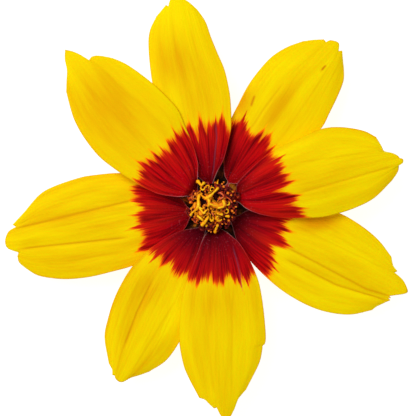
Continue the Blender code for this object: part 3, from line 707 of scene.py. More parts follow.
# The pattern and colours of both sides
petalLook = {
    # Noises drawn out along the petals, from hair thin to broad, as scales across, along and by petal. Petals
    # are about 10 mm wide, so that 90 across gives streaks of 0.1 mm.
    "streaks": [(90.0, 0.5, 7.3), (40.0, 0.25, 7.3), (17.0, 0.14, 7.3), (6.5, 0.08, 7.3)],
    "fineShare": 0.25,  # share of the yellow's bands that is fine
    "foldShare": 0.35,  # how strongly the folds are shaded beside their creases
    "fleck": "#D47806",
    # painted shadow on the yellow, along the dusks
    "amber": "#DC9400",
    "halo": "#EC5C04",
    "haloFray": 0.5,  # mm by which the fine streaks draw out the halo
    "hairFray": 0.9,  # mm by which the hair thin streaks draw out the eye's edge
    "fineFray": 0.7,
    "frayMiddle": 0.75,  # mm that the edge is drawn back again, so that it stays in place
    # The red from the eye's edge inwards
    "eye": [
        (0.0, "#FFB400"), (0.06, "#FC8400"), (0.12, "#F05808"), (0.19, "#D82C0A"), (0.32, "#C60C0C"),
        (1.0, "#C00410"),
    ],
    "darkLines": "#5C0006",
    "shadowLines": "#500004",
    "brightBands": "#DC200E",
    "heart": "#4A000E",
    # painted shadow on the red, along the dusks
    "dusk": "#300003",
    "vein": "#803850",
    "pollen": "#D06070",
    # The thin edge's painted rim light and shade, from the foot outwards
    "edge": [(0.0, "#E8C0BC"), (0.18, "#B84850"), (0.5, "#C02818"), (0.75, "#E89000"), (1.0, "#E8A000")],
}


def petalMaterial(name):
    look = petalLook
    finish = petalFinishes[name]
    material, tree, shader = newMaterial(
        name,
        Roughness=finish["roughness"],
        Specular_IOR_Level=0.02,
        Subsurface_Weight=0.2,
        Subsurface_Radius=(1.0, 0.5, 0.08),
        Subsurface_Scale=0.3 * mm,
    )
    blade = addNode(tree, "ShaderNodeAttribute", output="Vector", attribute_name="blade")
    labels = "eye halo crease fold vein dusk fleck ripe banding heart rim radius"
    eye, halo, crease, fold, vein, dusk, fleck, ripe, banding, heart, rim, radius = [
        addNode(tree, "ShaderNodeAttribute", output="Fac", attribute_name=label) for label in labels.split()
    ]
    streaks = []
    for scales in look["streaks"]:
        place = addNode(tree, "ShaderNodeVectorMath", [blade, scales], operation="MULTIPLY")
        noise = addNode(tree, "ShaderNodeTexNoise", {"Vector": place, "Scale": 1.0, "Detail": 2.0})
        spread = addNode(tree, "ShaderNodeMapRange", {"Value": noise, "From Min": 0.3, "From Max": 0.7})
        streaks.append(spread)
    hair, fine, middling, broad = streaks

    # Yellow, with bands, painted shade in the folds and creases, flecks, amber painted shadow, and the orange
    # halo of the eye
    mixed = addNode(tree, "ShaderNodeMix", [look["fineShare"], broad, fine])
    centred = addNode(tree, "ShaderNodeMath", [mixed, 0.5], operation="SUBTRACT")
    banded = addNode(tree, "ShaderNodeMath", [centred, banding, 0.5], operation="MULTIPLY_ADD")
    tone = addNode(tree, "ShaderNodeMath", [banded, ripe])
    shaded = addNode(tree, "ShaderNodeMath", [fold, look["foldShare"], crease], operation="MULTIPLY_ADD")
    paintedFoldShade = addNode(
        tree, "ShaderNodeMapRange", {"Value": shaded, "From Min": 0.05, "From Max": 1.4, "To Max": 0.8}
    )
    unevenHalo = addNode(tree, "ShaderNodeMath", [fine, look["haloFray"], halo], operation="MULTIPLY_ADD")
    glow = addNode(
        tree, "ShaderNodeMapRange",
        {"Value": unevenHalo, "From Min": -0.45, "From Max": 1.0, "To Max": 0.95},
        interpolation_type="SMOOTHSTEP",
    )
    yellow = addNode(tree, "ShaderNodeValToRGB", [tone], finish["yellow"])
    over = ((paintedFoldShade, finish["fold"]), (fleck, look["fleck"]), (dusk, look["amber"]), (glow, look["halo"]))
    for share, colour in over:
        yellow = addNode(tree, "ShaderNodeMix", [share, yellow, linear(colour)], data_type="RGBA")

    # Red, from the eye's feathered edge inwards, with dark and bright lines along it, painted shadow and
    # fallen pollen
    frayed = addNode(tree, "ShaderNodeMath", [hair, look["hairFray"], eye], operation="MULTIPLY_ADD")
    feathered = addNode(tree, "ShaderNodeMath", [fine, look["fineFray"], frayed], operation="MULTIPLY_ADD")
    ragged = addNode(tree, "ShaderNodeMath", [feathered, look["frayMiddle"]], operation="SUBTRACT")
    inside = addNode(tree, "ShaderNodeMath", [ragged, halo])
    depth = addNode(tree, "ShaderNodeMapRange", {"Value": inside, "From Min": -1.0, "From Max": 7.0})
    settled = addNode(tree, "ShaderNodeMapRange", {"Value": inside, "From Min": -0.2, "From Max": 1.2})
    dark = addNode(tree, "ShaderNodeMapRange", {"Value": fine, "From Min": 0.3, "To Max": 0.8})
    darkInside = addNode(tree, "ShaderNodeMath", [dark, settled], operation="MULTIPLY")
    shadow = addNode(tree, "ShaderNodeMapRange", {"Value": middling, "From Min": 0.5, "To Max": 0.75})
    shadowInside = addNode(tree, "ShaderNodeMath", [shadow, settled], operation="MULTIPLY")
    light = addNode(tree, "ShaderNodeMapRange", {"Value": broad, "From Min": 0.45, "To Max": 0.6})
    flat = addNode(tree, "ShaderNodeTexCoord", output="Object")
    dust = addNode(tree, "ShaderNodeTexNoise", {"Vector": flat, "Scale": 5.0 / mm, "Detail": 0.0})
    fallen = addNode(
        tree, "ShaderNodeMapRange", {"Value": radius, "From Min": 7.5, "From Max": 4.0, "To Max": 0.16}
    )
    specks = addNode(tree, "ShaderNodeMapRange", {"Value": dust, "From Min": 0.68, "From Max": 0.78})
    dusted = addNode(tree, "ShaderNodeMath", [specks, fallen], operation="MULTIPLY")
    red = addNode(tree, "ShaderNodeValToRGB", [depth], look["eye"])
    over = (
        (darkInside, "darkLines"), (shadowInside, "shadowLines"), (light, "brightBands"), (heart, "heart"),
        (dusk, "dusk"), (vein, "vein"), (dusted, "pollen"),
    )
    for share, label in over:
        red = addNode(tree, "ShaderNodeMix", [share, red, linear(look[label])], data_type="RGBA")
    inEye = addNode(
        tree, "ShaderNodeMapRange",
        {"Value": ragged, "From Min": -0.55, "From Max": 0.15, "To Max": finish["redShare"]},
        interpolation_type="SMOOTHSTEP",
    )
    painted = addNode(tree, "ShaderNodeMix", [inEye, yellow, red], data_type="RGBA")

    # A thin edge of painted rim light and shade: pale, as if it caught the light, near the foot, and amber,
    # as if shaded, outwards
    outwards = addNode(tree, "ShaderNodeMapRange", {"Value": radius, "From Min": 3.0, "From Max": 13.0})
    rimLightAndShade = addNode(tree, "ShaderNodeValToRGB", [outwards], look["edge"])
    rimStrength = addNode(
        tree, "ShaderNodeMapRange",
        {"Value": middling, "From Min": 0.2, "From Max": 0.8, "To Min": 0.2, "To Max": 0.8},
    )
    hidden = addNode(tree, "ShaderNodeMapRange", {"Value": heart, "To Min": 1.0, "To Max": 0.4})
    rimShare = addNode(tree, "ShaderNodeMath", [rimStrength, hidden], operation="MULTIPLY")
    onRim = addNode(
        tree, "ShaderNodeMapRange",
        {"Value": rim, "From Min": 0.15, "From Max": 0.03, "To Max": rimShare},
        interpolation_type="SMOOTHSTEP",
    )
    edged = addNode(tree, "ShaderNodeMix", [onRim, painted, rimLightAndShade], data_type="RGBA")
    tree.links.new(edged, shader.inputs["Base Color"])
    bump = addNode(tree, "ShaderNodeBump", {"Height": fine, "Strength": 0.35, "Distance": 0.05 * mm})
    tree.links.new(bump, shader.inputs["Normal"])
    return material


def makePetals():
    face = petalMaterial("rayPetalFace")
    underside = petalMaterial("rayPetalUnderside")
    relief = bladeReliefTree()
    for number, petal in enumerate(petals):
        values = {
            "Vein count": petalForm["veinCount"],
            "Vein height": petalForm["veinHeight"] * mm,
            "Swell height": petalForm["swellHeight"] * mm,
            "Swell scale": petalForm["swellScale"],
            "Relief start": petalForm["reliefRadii"][0],
            "Relief end": petalForm["reliefRadii"][1],
            "Material": face,
        }
        piece = runTree(bpy.data.objects.new(petal["piece"], petalMesh(petal, number)), relief, values)
        piece.data.materials.append(underside)
        rim = np.zeros(len(piece.data.vertices), dtype=np.float32)
        piece.data.attributes["rim"].data.foreach_get("value", rim)
        middle = piece.vertex_groups.new(name="middle")
        for index, share in enumerate(smoothStep(0.0, petalForm["edgeWidth"], rim)):
            middle.add([index], float(share), "REPLACE")
        solidify = piece.modifiers.new("thickness", "SOLIDIFY")
        solidify.thickness = petalForm["thickness"] * mm
        solidify.offset = 0.0
        solidify.vertex_group = middle.name
        solidify.thickness_vertex_group = petalForm["edgeThickness"]
        solidify.material_offset = 1
        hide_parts(petal["node"])
        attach(piece, "root")
    print("petals:", len(petals))


# Disc: a low dark dome that carries crumpled tube florets by the golden angle, amber tissue over them, and
# the bright forked styles on top. Lengths in mm.
disc = {
    "domeRadius": 2.5,
    "domeTop": 8.0,
    "domeFall": 0.17,  # drop for each square millimetre of distance from the middle
    "coreRings": 14,
    "coreSteps": 48,
    "coreSink": 0.25,
    "coreFoot": [(2.5, 6.2), (1.8, 5.65), (0.0, 5.65)],  # (radius, height) under the dome
    "floretCount": 66,
    "floretSpread": 2.55,
    "floretTurn": 0.15,  # radians a seat may stand aside
    "floretLean": 50.0,  # degrees at the rim
    "leanPower": 1.5,
    "leanJitter": 0.3,  # radians
    "floretSink": 0.35,
    "sinkJitter": 0.15,
    "floretSize": (0.75, 1.25),  # times its outline, for the smallest and the largest
    "floretSteps": 25,
    "floretCrumple": 0.4,
    "crumpleScale": 1.7,  # waves in a millimetre
    # The waves of a floret's lobes, as (size, number round it, start in radians)
    "lobeWaves": [(0.8, 5.0, 0.0), (0.4, 2.0, 0.7)],
    "lobeDroop": 0.16,
    # Places without florets, as (x, y, radius)
    "hollows": [(-1.15, 0.38, 0.6), (0.2, 1.15, 0.42), (-0.85, 1.62, 0.3), (0.65, -1.45, 0.2)],
    "ripeMiddle": (-0.55, -0.1),
    "ripeReach": (1.3, 2.25),  # golden inside the first, maroon outside the second
    "ripeJitter": (-0.25, 0.15),
    "corollaMottling": 1.4,
    "corollaDarkening": 0.7,
    "seed": 4,
    "sides": 12,
    "step": 0.05,
    "fewestSteps": 6,
    "bluntness": 0.02,  # above 0, so that a limb's ends keep a little width
    "innerRadius": 1.0,  # within it widths are the middle's
    "styleLift": 0.72,
    "styleBump": 0.13,
    "bumpScale": 3.0,  # waves in a millimetre
    "limbMottling": 0.9,
    "limbDarkening": 0.6,
    "startCore": 0.4,  # share of its reach in which the colour of a limb's start is full
    "clubbing": (0.15, 0.2),  # limbs thicker than the first grow thicker still, by this power of the ratio
    "foldDrop": 0.17,
    "foldWidth": (1.6, 1.0),  # times the style's width, in the middle and at the rim
    "foldBump": 0.35,
    "curlTurns": range(35, 330, 36),  # degrees from a ring's opening to its points
    "curlLift": 0.1,
    "antherHeight": 0.84,
    "antherSize": 1.25,
    "antherLean": 0.35,  # how much closer to the middle its foot stands
    "antherInner": 0.5,  # nearer to the middle than this it leans less
    "antherStalk": [(0.5, 0.6), (0.2, 0.7)],  # (depth, times the tip's radius), at the foot and half way up
}

# The ways of the styles and curled lobes that show, each point as (x, y, lift, radius)
styles = [
    [
        (-1.97, 3.01, 0.2, 0.36), (-1.74, 2.78, 0.12, 0.18), (-1.46, 2.48, 0.05, 0.15),
        (-1.41, 2.25, -0.05, 0.14),
    ],
    [(-1.09, 2.87, 0.25, 0.38), (-1.25, 2.64, 0.12, 0.18), (-1.46, 2.45, 0.05, 0.14)],
    [
        (0.55, 2.22, 0.45, 0.24), (0.38, 1.99, 0.42, 0.14), (0.13, 1.71, 0.4, 0.12),
        (-0.15, 1.43, 0.35, 0.14), (-0.48, 1.15, 0.3, 0.19), (-0.76, 0.98, 0.25, 0.23),
        (-1.13, 1.03, 0.2, 0.14), (-1.6, 1.45, 0.1, 0.1),
    ],
    [
        (-1.62, 1.47, 0.1, 0.15), (-1.76, 1.15, 0.2, 0.2), (-1.81, 0.59, 0.25, 0.18),
        (-1.81, 0.03, 0.25, 0.21), (-2.02, -0.35, 0.22, 0.19), (-2.35, -0.63, 0.2, 0.13),
        (-2.63, -0.93, 0.2, 0.14), (-2.81, -1.14, 0.2, 0.24),
    ],
    [(-1.81, -0.07, 0.2, 0.19), (-1.5, -0.3, 0.1, 0.13), (-1.2, -0.36, 0.0, 0.08)],
    [
        (-0.72, -0.12, 0.1, 0.12), (-0.58, 0.2, 0.2, 0.16), (-0.55, 0.5, 0.22, 0.15),
        (-0.66, 0.9, 0.27, 0.17),
    ],
    [(-0.57, 0.21, 0.2, 0.18), (-0.25, 0.2, 0.2, 0.15), (0.08, 0.02, 0.16, 0.1), (0.4, 0.06, 0.12, 0.12)],
    [
        (0.42, -0.28, 0.1, 0.1), (0.78, -0.2, 0.15, 0.13), (1.12, -0.08, 0.18, 0.13),
        (1.26, 0.2, 0.25, 0.18), (1.2, 0.5, 0.3, 0.2), (0.99, 0.66, 0.3, 0.17),
    ],
    [
        (-1.69, -0.25, 0.15, 0.13), (-1.46, -0.53, 0.15, 0.12), (-1.16, -0.83, 0.2, 0.15),
        (-0.97, -0.63, 0.15, 0.11), (-0.79, -0.46, 0.1, 0.1),
    ],
    [
        (-0.57, -1.21, 0.45, 0.13), (-0.79, -1.54, 0.45, 0.15), (-1.04, -1.89, 0.42, 0.2),
        (-1.46, -2.33, 0.38, 0.25),
    ],
    [(-0.53, -1.28, 0.05, 0.09), (-0.36, -1.61, 0.1, 0.12), (-0.18, -1.87, 0.12, 0.19)],
    [(-0.09, -1.28, 0.05, 0.08), (-0.04, -1.56, 0.08, 0.1), (-0.15, -1.84, 0.12, 0.15)],
    [
        (0.39, -0.79, 0.4, 0.2), (0.59, -0.93, 0.4, 0.14), (0.85, -1.0, 0.38, 0.13),
        (1.15, -1.06, 0.35, 0.17),
    ],
    [(1.92, -1.24, 0.35, 0.23), (1.71, -1.23, 0.33, 0.17), (1.39, -1.19, 0.28, 0.1)],
    [
        (0.55, -2.17, 0.4, 0.22), (0.43, -2.42, 0.4, 0.14), (0.29, -2.73, 0.38, 0.13),
        (0.13, -3.22, 0.35, 0.22),
    ],
    [
        (-1.97, -1.14, 0.05, 0.13), (-1.69, -1.33, 0.08, 0.17), (-1.32, -1.65, 0.05, 0.15),
        (-1.13, -1.79, 0.0, 0.09),
    ],
    [(-0.9, -2.21, 0.0, 0.16), (-0.79, -2.49, 0.03, 0.22)],
    [(0.55, 3.15, 0.2, 0.06), (0.48, 2.92, 0.2, 0.07), (0.45, 2.64, 0.18, 0.14)],
]

# Broad low tissue between the styles, with points as for the styles
sheets = [
    [(-2.1, 0.5, -0.15, 0.22), (-2.2, 0.05, -0.15, 0.28), (-2.1, -0.4, -0.15, 0.25)],
    [(-0.95, 1.0, -0.15, 0.25), (-0.6, 0.95, -0.15, 0.36), (-0.3, 0.6, -0.15, 0.26)],
    [
        (-0.4, 0.1, -0.2, 0.3), (0.1, 0.1, -0.2, 0.34), (0.6, 0.0, -0.2, 0.3), (1.0, 0.15, -0.15, 0.38),
        (1.1, 0.5, -0.2, 0.3),
    ],
    [(-1.75, -0.5, -0.15, 0.25), (-1.45, -0.85, -0.15, 0.34), (-1.1, -1.0, -0.15, 0.25)],
    [(-1.4, -0.05, -0.45, 0.22), (-1.0, -0.12, -0.45, 0.26)],
    [(-1.75, -1.35, -0.15, 0.25), (-1.4, -1.6, -0.15, 0.28)],
    [(0.3, -1.1, -0.2, 0.24), (0.5, -1.7, -0.2, 0.26), (0.9, -1.6, -0.2, 0.22)],
]

# Curled lobes, each a small ring open on one side, as (x, y, ring radius, thickness, degrees where it opens)
curls = [
    (-1.29, 2.15, 0.23, 0.1, 60), (-0.71, 2.27, 0.19, 0.09, 250), (1.53, -0.63, 0.25, 0.09, 140),
    (1.67, 0.35, 0.23, 0.1, 90), (0.69, -1.47, 0.31, 0.08, 20), (-0.15, 1.99, 0.24, 0.08, 300),
]

# Ribbons of tissue in the colour of salmon, with points as for the styles
ribbons = [
    [(0.48, 1.52, 0.1, 0.1), (0.83, 1.54, 0.15, 0.12), (1.15, 1.29, 0.15, 0.12), (1.27, 1.05, 0.1, 0.1)],
    [(1.25, 1.1, 0.1, 0.1), (0.83, 0.89, 0.12, 0.12), (0.52, 0.66, 0.1, 0.1)],
    [(1.43, 1.1, 0.1, 0.08), (1.81, 0.91, 0.15, 0.1), (2.09, 0.59, 0.15, 0.1), (2.18, 0.31, 0.1, 0.08)],
    [(-2.53, 1.29, 0.0, 0.08), (-2.6, 1.05, 0.05, 0.1), (-2.53, 0.77, 0.0, 0.09)],
    [(-1.45, -0.5, 0.0, 0.08), (-1.3, -0.72, 0.05, 0.09)],
    [(-0.2, -0.75, 0.0, 0.08), (-0.05, -1.05, 0.1, 0.1), (0.1, -1.3, 0.0, 0.08)],
    [(0.85, 0.2, 0.05, 0.08), (0.95, -0.02, 0.08, 0.1)],
]

# Orange anther tips on maroon stalks that show between them, as (x, y, radius)
antherTips = [
    (-2.25, 1.52, 0.17), (-2.88, 0.45, 0.2), (-2.35, -1.28, 0.12), (0.22, 2.87, 0.12), (1.25, 2.92, 0.11),
    (1.06, 2.71, 0.13), (1.25, 2.41, 0.17), (-0.99, 1.43, 0.13), (1.81, 1.61, 0.21), (2.18, 1.33, 0.13),
    (2.39, 1.75, 0.12), (1.9, -1.79, 0.15), (1.53, -2.21, 0.09), (-0.57, -3.01, 0.13), (-0.29, -3.15, 0.11),
    (0.78, 1.61, 0.09), (-0.25, 2.45, 0.08), (1.06, -2.21, 0.1), (2.6, 0.63, 0.12), (-1.04, 1.75, 0.08),
    (-1.79, -0.91, 0.08), (2.32, -0.63, 0.16), (2.5, -0.82, 0.13), (1.34, -1.65, 0.1), (0.22, -2.12, 0.09),
    (2.75, -0.1, 0.09), (2.3, -1.4, 0.08), (-1.2, 0.1, 0.12), (-0.95, 0.05, 0.1),
]


def domeHeight(x, y):
    return disc["domeTop"] - disc["domeFall"] * (x * x + y * y)


# A tube floret's outline, from its foot up and back into its mouth, as (radius, height, how far it spreads
# into lobes, tint from tube to lobe)
floretOutline = [
    (0.0, 0.0, 0.0, 0.0), (0.1, 0.02, 0.0, 0.0), (0.13, 0.25, 0.0, 0.05), (0.17, 0.5, 0.0, 0.2),
    (0.22, 0.66, 0.1, 0.5), (0.33, 0.7, 0.45, 0.9), (0.38, 0.66, 0.5, 1.0), (0.36, 0.72, 0.45, 1.0),
    (0.2, 0.76, 0.15, 0.7), (0.14, 0.62, 0.0, 0.25), (0.09, 0.45, 0.0, 0.0), (0.0, 0.4, 0.0, 0.0),
]


# A tube floret at the origin: a slim tube that opens into five uneven curled lobes round a deep mouth
def floretMesh():
    turn = np.linspace(0.0, -math.tau, disc["floretSteps"] + 1)
    lobes = sum(size * np.cos(number * turn + start) for size, number, start in disc["lobeWaves"])
    rings = []
    for radius, height, flare, _ in floretOutline:
        reach = radius * (1.0 + flare * lobes)
        drop = -disc["lobeDroop"] * flare * lobes
        rings.append(np.stack([reach * np.cos(turn), reach * np.sin(turn), height + drop], axis=-1))
    tints = np.repeat(np.array(floretOutline)[:, 3:], len(turn), axis=1)
    return gridMesh("floret", np.array(rings)[::-1], {"tint": tints[::-1]}, closed=True)


# Moves every point of a geometry by noise, up to the given distance
def addCrumple(tree, geometry, distance, scale):
    place = addNode(tree, "GeometryNodeInputPosition")
    settings = {"Vector": place, "Scale": scale, "Detail": 2.0}
    noise = addNode(tree, "ShaderNodeTexNoise", settings, output="Color")
    centred = addNode(tree, "ShaderNodeVectorMath", [noise, (0.5, 0.5, 0.5)], operation="SUBTRACT")
    offset = addNode(tree, "ShaderNodeVectorMath", {"Vector": centred, "Scale": distance}, operation="SCALE")
    return addNode(tree, "GeometryNodeSetPosition", {"Geometry": geometry, "Offset": offset})


# Sets the floret on each seat, leaning along the seat's own axis, and crumples them all
def floretTree():
    tree, given = newTree(
        "discFlorets",
        {
            "Geometry": "Geometry",
            "Floret": "Object",
            "Smallest": "Float",
            "Largest": "Float",
            "Crumple": "Float",
            "Crumple scale": "Float",
            "Seed": "Int",
            "Material": "Material",
        },
    )
    axis = addNode(tree, "GeometryNodeInputNamedAttribute", ["axis"], data_type="FLOAT_VECTOR")
    spin = addNode(tree, "FunctionNodeRandomValue", {"Max": math.tau, "Seed": given["Seed"]})
    turned = addNode(tree, "FunctionNodeAxisAngleToRotation", {"Axis": (0.0, 0.0, 1.0), "Angle": spin})
    leaning = addNode(
        tree, "FunctionNodeAlignRotationToVector", {"Rotation": turned, "Vector": axis}, axis="Z"
    )
    limits = {"Min": given["Smallest"], "Max": given["Largest"]}
    size = addNode(tree, "FunctionNodeRandomValue", {**limits, "Seed": given["Seed"]})
    floret = addNode(tree, "GeometryNodeObjectInfo", [given["Floret"]], output="Geometry")
    points = addNode(tree, "GeometryNodeMeshToPoints", [given["Geometry"]])
    placed = addNode(
        tree, "GeometryNodeInstanceOnPoints",
        {"Points": points, "Instance": floret, "Rotation": leaning, "Scale": size},
    )
    real = addNode(tree, "GeometryNodeRealizeInstances", [placed])
    crumpled = addCrumple(tree, real, given["Crumple"], given["Crumple scale"])
    finishTree(tree, crumpled, given["Material"])
    return tree


# Sweeps a round section, as wide as the curve's own radius, along every curve, and makes its skin uneven.
# The attributes along and upward are the place on the limb and how far its skin faces up.
def limbTree():
    tree, given = newTree(
        "taperedLimbs",
        {
            "Geometry": "Geometry",
            "Sides": "Int",
            "Bump": "Float",
            "Bump scale": "Float",
            "Material": "Material",
        },
    )
    width = addNode(tree, "GeometryNodeInputRadius")
    place = addNode(tree, "GeometryNodeSplineParameter", output="Factor")
    ways = addNode(
        tree, "GeometryNodeStoreNamedAttribute",
        {"Geometry": given["Geometry"], "Name": "along", "Value": place}, data_type="FLOAT", domain="POINT",
    )
    section = addNode(tree, "GeometryNodeCurvePrimitiveCircle", {"Resolution": given["Sides"], "Radius": 1.0})
    swept = addNode(
        tree, "GeometryNodeCurveToMesh",
        {"Curve": ways, "Profile Curve": section, "Scale": width, "Fill Caps": True},
    )
    uneven = addCrumple(tree, swept, given["Bump"], given["Bump scale"])
    facing = addNode(tree, "ShaderNodeSeparateXYZ", [addNode(tree, "GeometryNodeInputNormal")], output="Z")
    marked = addNode(
        tree, "GeometryNodeStoreNamedAttribute",
        {"Geometry": uneven, "Name": "upward", "Value": facing}, data_type="FLOAT", domain="POINT",
    )
    finishTree(tree, marked, given["Material"])
    return tree


# A limb's points and radii, smoothed and rounded off at both ends
def roundedLimb(points):
    points = np.array(points)
    length = np.linalg.norm(np.diff(points[:, :3], axis=0), axis=1).sum()
    path = evenCurve(points, max(int(length / disc["step"]), disc["fewestSteps"]))
    start, end = path[0, 3], path[-1, 3]
    walked = np.concatenate([[0.0], np.cumsum(np.linalg.norm(np.diff(path[:, :3], axis=0), axis=1))])
    toStart = np.clip(walked / start, disc["bluntness"], 1.0)
    toEnd = np.clip((walked[-1] - walked) / end, disc["bluntness"], 1.0)
    path[:, 3] *= np.sqrt(1.0 - (1.0 - toStart) ** 2) * np.sqrt(1.0 - (1.0 - toEnd) ** 2)
    return path


# Limbs given by their ways over the dome, each higher than it by height. widths are shares of the given
# radius, in the middle of the disc and at its rim.
def limbsOver(ways, height, widths=(1.0, 1.0)):
    limbs = []
    for way in ways:
        x, y, lift, radius = np.array(way).T
        outwards = smoothStep(disc["innerRadius"], disc["domeRadius"], np.hypot(x, y))
        clubbed = (radius / disc["clubbing"][0]) ** disc["clubbing"][1]
        radius = radius * (widths[0] + outwards * (widths[1] - widths[0])) * clubbed
        limbs.append(roundedLimb(np.column_stack([x, y, domeHeight(x, y) + height + lift, radius])))
    return limbs


def curlWays():
    ways = []
    for x, y, reach, thickness, opening in curls:
        way = []
        for turn in disc["curlTurns"]:
            angle = math.radians(opening + turn)
            place = x + reach * math.cos(angle), y + reach * math.sin(angle)
            way.append((*place, disc["curlLift"], thickness))
        ways.append(way)
    return ways


def antherLimbs():
    limbs = []
    for x, y, radius in antherTips:
        height = domeHeight(x, y) + disc["antherHeight"]
        radius *= disc["antherSize"]
        foot = 1.0 - disc["antherLean"] / max(math.hypot(x, y), disc["antherInner"])
        way = [
            (x * share, y * share, height - depth, radius * width)
            for share, (depth, width) in zip((foot, (1.0 + foot) / 2), disc["antherStalk"])
        ]
        limbs.append(roundedLimb(way + [(x, y, height, radius)]))
    return limbs


def limbCurves(name, limbs):
    curve = bpy.data.curves.new(name, "CURVE")
    curve.dimensions = "3D"
    for limb in limbs:
        spline = curve.splines.new("POLY")
        spline.points.add(len(limb) - 1)
        for point, (x, y, z, radius) in zip(spline.points, limb):
            point.co = (x * mm, y * mm, z * mm, 1.0)
            point.radius = float(radius) * mm
    return bpy.data.objects.new(name, curve)


goldStops = [(0.0, "#A83A02"), (0.3, "#E07600"), (0.55, "#FA9E00"), (0.8, "#FFBA00"), (1.0, "#FFD020")]
amberStops = [(0.0, "#501004"), (0.3, "#A03206"), (0.6, "#E06E04"), (0.85, "#FF9A04"), (1.0, "#FFB40C")]
salmonStops = [(0.0, "#7A160C"), (0.5, "#B83C14"), (0.8, "#D85A24"), (1.0, "#F08A5C")]
orangeStops = [(0.0, "#A02C08"), (0.4, "#E06008"), (0.8, "#FA8418"), (1.0, "#FFA434")]

# The tissue of each piece, as (material, colours from dark to bright, colour at a limb's start, share of the
# limb that it reaches)
limbLooks = {
    "styles": ("styleGold", goldStops, "#E89000", 0.1),
    "amberTissue": ("amberTissue", amberStops, "#A05008", 0.1),
    "curledLobes": ("lobeGold", goldStops, "#D07008", 0.3),
    "ribbons": ("ribbonSalmon", salmonStops, "#A83018", 0.2),
    "antherTips": ("antherOrange", orangeStops, "#3A060C", 0.75),
}


# Limb tissue: grainy, pollen dusted skin, with painted shade where it turns down, away from the light, and a
# colour that deepens towards the limb's start
def limbMaterial(name, stops, startColour, startReach):
    material, tree, shader = newMaterial(
        name,
        Roughness=0.55,
        Specular_IOR_Level=0.15,
        Subsurface_Weight=0.2,
        Subsurface_Radius=(1.0, 0.4, 0.05),
        Subsurface_Scale=0.25 * mm,
    )
    along, upward = [
        addNode(tree, "ShaderNodeAttribute", output="Fac", attribute_name=label)
        for label in ("along", "upward")
    ]
    place = addNode(tree, "ShaderNodeTexCoord", output="Object")
    patches = addNode(tree, "ShaderNodeTexNoise", {"Vector": place, "Scale": 2.0 / mm, "Detail": 3.0})
    # painted shade: skin that faces down is coloured darker, skin that faces up brighter
    lit = addNode(tree, "ShaderNodeMapRange", {"Value": upward, "From Min": -0.1, "From Max": 0.85})
    tone = addNode(tree, "ShaderNodeMath", [patches, disc["limbMottling"], lit], operation="MULTIPLY_ADD")
    spread = addNode(tree, "ShaderNodeMath", [tone, disc["limbDarkening"]], operation="SUBTRACT")
    colour = addNode(tree, "ShaderNodeValToRGB", [spread], stops)
    begun = addNode(
        tree, "ShaderNodeMapRange",
        {"Value": along, "From Min": startReach, "From Max": startReach * disc["startCore"]},
    )
    whole = addNode(tree, "ShaderNodeMix", [begun, colour, linear(startColour)], data_type="RGBA")
    tree.links.new(whole, shader.inputs["Base Color"])
    grains = addNode(tree, "ShaderNodeTexNoise", {"Vector": place, "Scale": 9.0 / mm, "Detail": 2.0})
    bump = addNode(tree, "ShaderNodeBump", {"Height": grains, "Strength": 0.5, "Distance": 0.04 * mm})
    tree.links.new(bump, shader.inputs["Normal"])
    return material


# Corolla tissue: near black maroon tubes with a few pale flecks, whose lobes are golden on the ripe side
def corollaMaterial():
    material, tree, shader = newMaterial("corollaTissue", Roughness=0.6, Specular_IOR_Level=0.1)
    tint, ripe = [
        addNode(tree, "ShaderNodeAttribute", output="Fac", attribute_name=label) for label in ("tint", "ripe")
    ]
    place = addNode(tree, "ShaderNodeTexCoord", output="Object")
    patches = addNode(tree, "ShaderNodeTexNoise", {"Vector": place, "Scale": 2.5 / mm, "Detail": 3.0})
    tube = addNode(
        tree, "ShaderNodeValToRGB", [patches],
        [(0.35, "#1E0306"), (0.5, "#560A12"), (0.6, "#8E1A1A"), (0.7, "#B85848"), (0.78, "#E0A898")],
    )
    mottled = addNode(
        tree, "ShaderNodeMath", [patches, disc["corollaMottling"], ripe], operation="MULTIPLY_ADD"
    )
    ripened = addNode(tree, "ShaderNodeMath", [mottled, disc["corollaDarkening"]], operation="SUBTRACT")
    lobe = addNode(
        tree, "ShaderNodeValToRGB", [ripened],
        [(0.0, "#641010"), (0.25, "#B43210"), (0.5, "#DC5E0C"), (0.75, "#F08408"), (1.0, "#FFA40A")],
    )
    share = addNode(
        tree, "ShaderNodeMapRange", {"Value": tint, "From Min": 0.4, "From Max": 0.95},
        interpolation_type="SMOOTHSTEP",
    )
    colour = addNode(tree, "ShaderNodeMix", [share, tube, lobe], data_type="RGBA")
    tree.links.new(colour, shader.inputs["Base Color"])
    return material


# Seats of the florets, by the golden angle, apart from the hollows. Each has its floret's axis and ripeness.
def floretSeats():
    draw = random.Random(disc["seed"])
    seats, axes, ripes = [], [], []
    for index in range(disc["floretCount"]):
        share = math.sqrt((index + 0.5) / disc["floretCount"])
        aside = draw.uniform(-disc["floretTurn"], disc["floretTurn"])
        angle = index * math.pi * (3.0 - math.sqrt(5.0)) + aside
        x, y = disc["floretSpread"] * share * math.cos(angle), disc["floretSpread"] * share * math.sin(angle)
        lean = math.radians(disc["floretLean"]) * share ** disc["leanPower"]
        lean += draw.uniform(-disc["leanJitter"], disc["leanJitter"])
        height = domeHeight(x, y) - disc["floretSink"] + draw.uniform(-disc["sinkJitter"], disc["sinkJitter"])
        fromRipe = math.dist((x, y), disc["ripeMiddle"])
        ripe = 1.0 - smoothStep(*disc["ripeReach"], fromRipe) + draw.uniform(*disc["ripeJitter"])
        if any(math.dist((x, y), hollow[:2]) < hollow[2] for hollow in disc["hollows"]):
            continue
        axes.append((math.cos(angle) * math.sin(lean), math.sin(angle) * math.sin(lean), math.cos(lean)))
        seats.append((x * mm, y * mm, height * mm))
        ripes.append(min(max(float(ripe), 0.0), 1.0))
    mesh = bpy.data.meshes.new("seats")
    mesh.from_pydata(seats, [], [])
    mesh.attributes.new("axis", "FLOAT_VECTOR", "POINT").data.foreach_set("vector", np.ravel(axes))
    mesh.attributes.new("ripe", "FLOAT", "POINT").data.foreach_set("value", ripes)
    return mesh


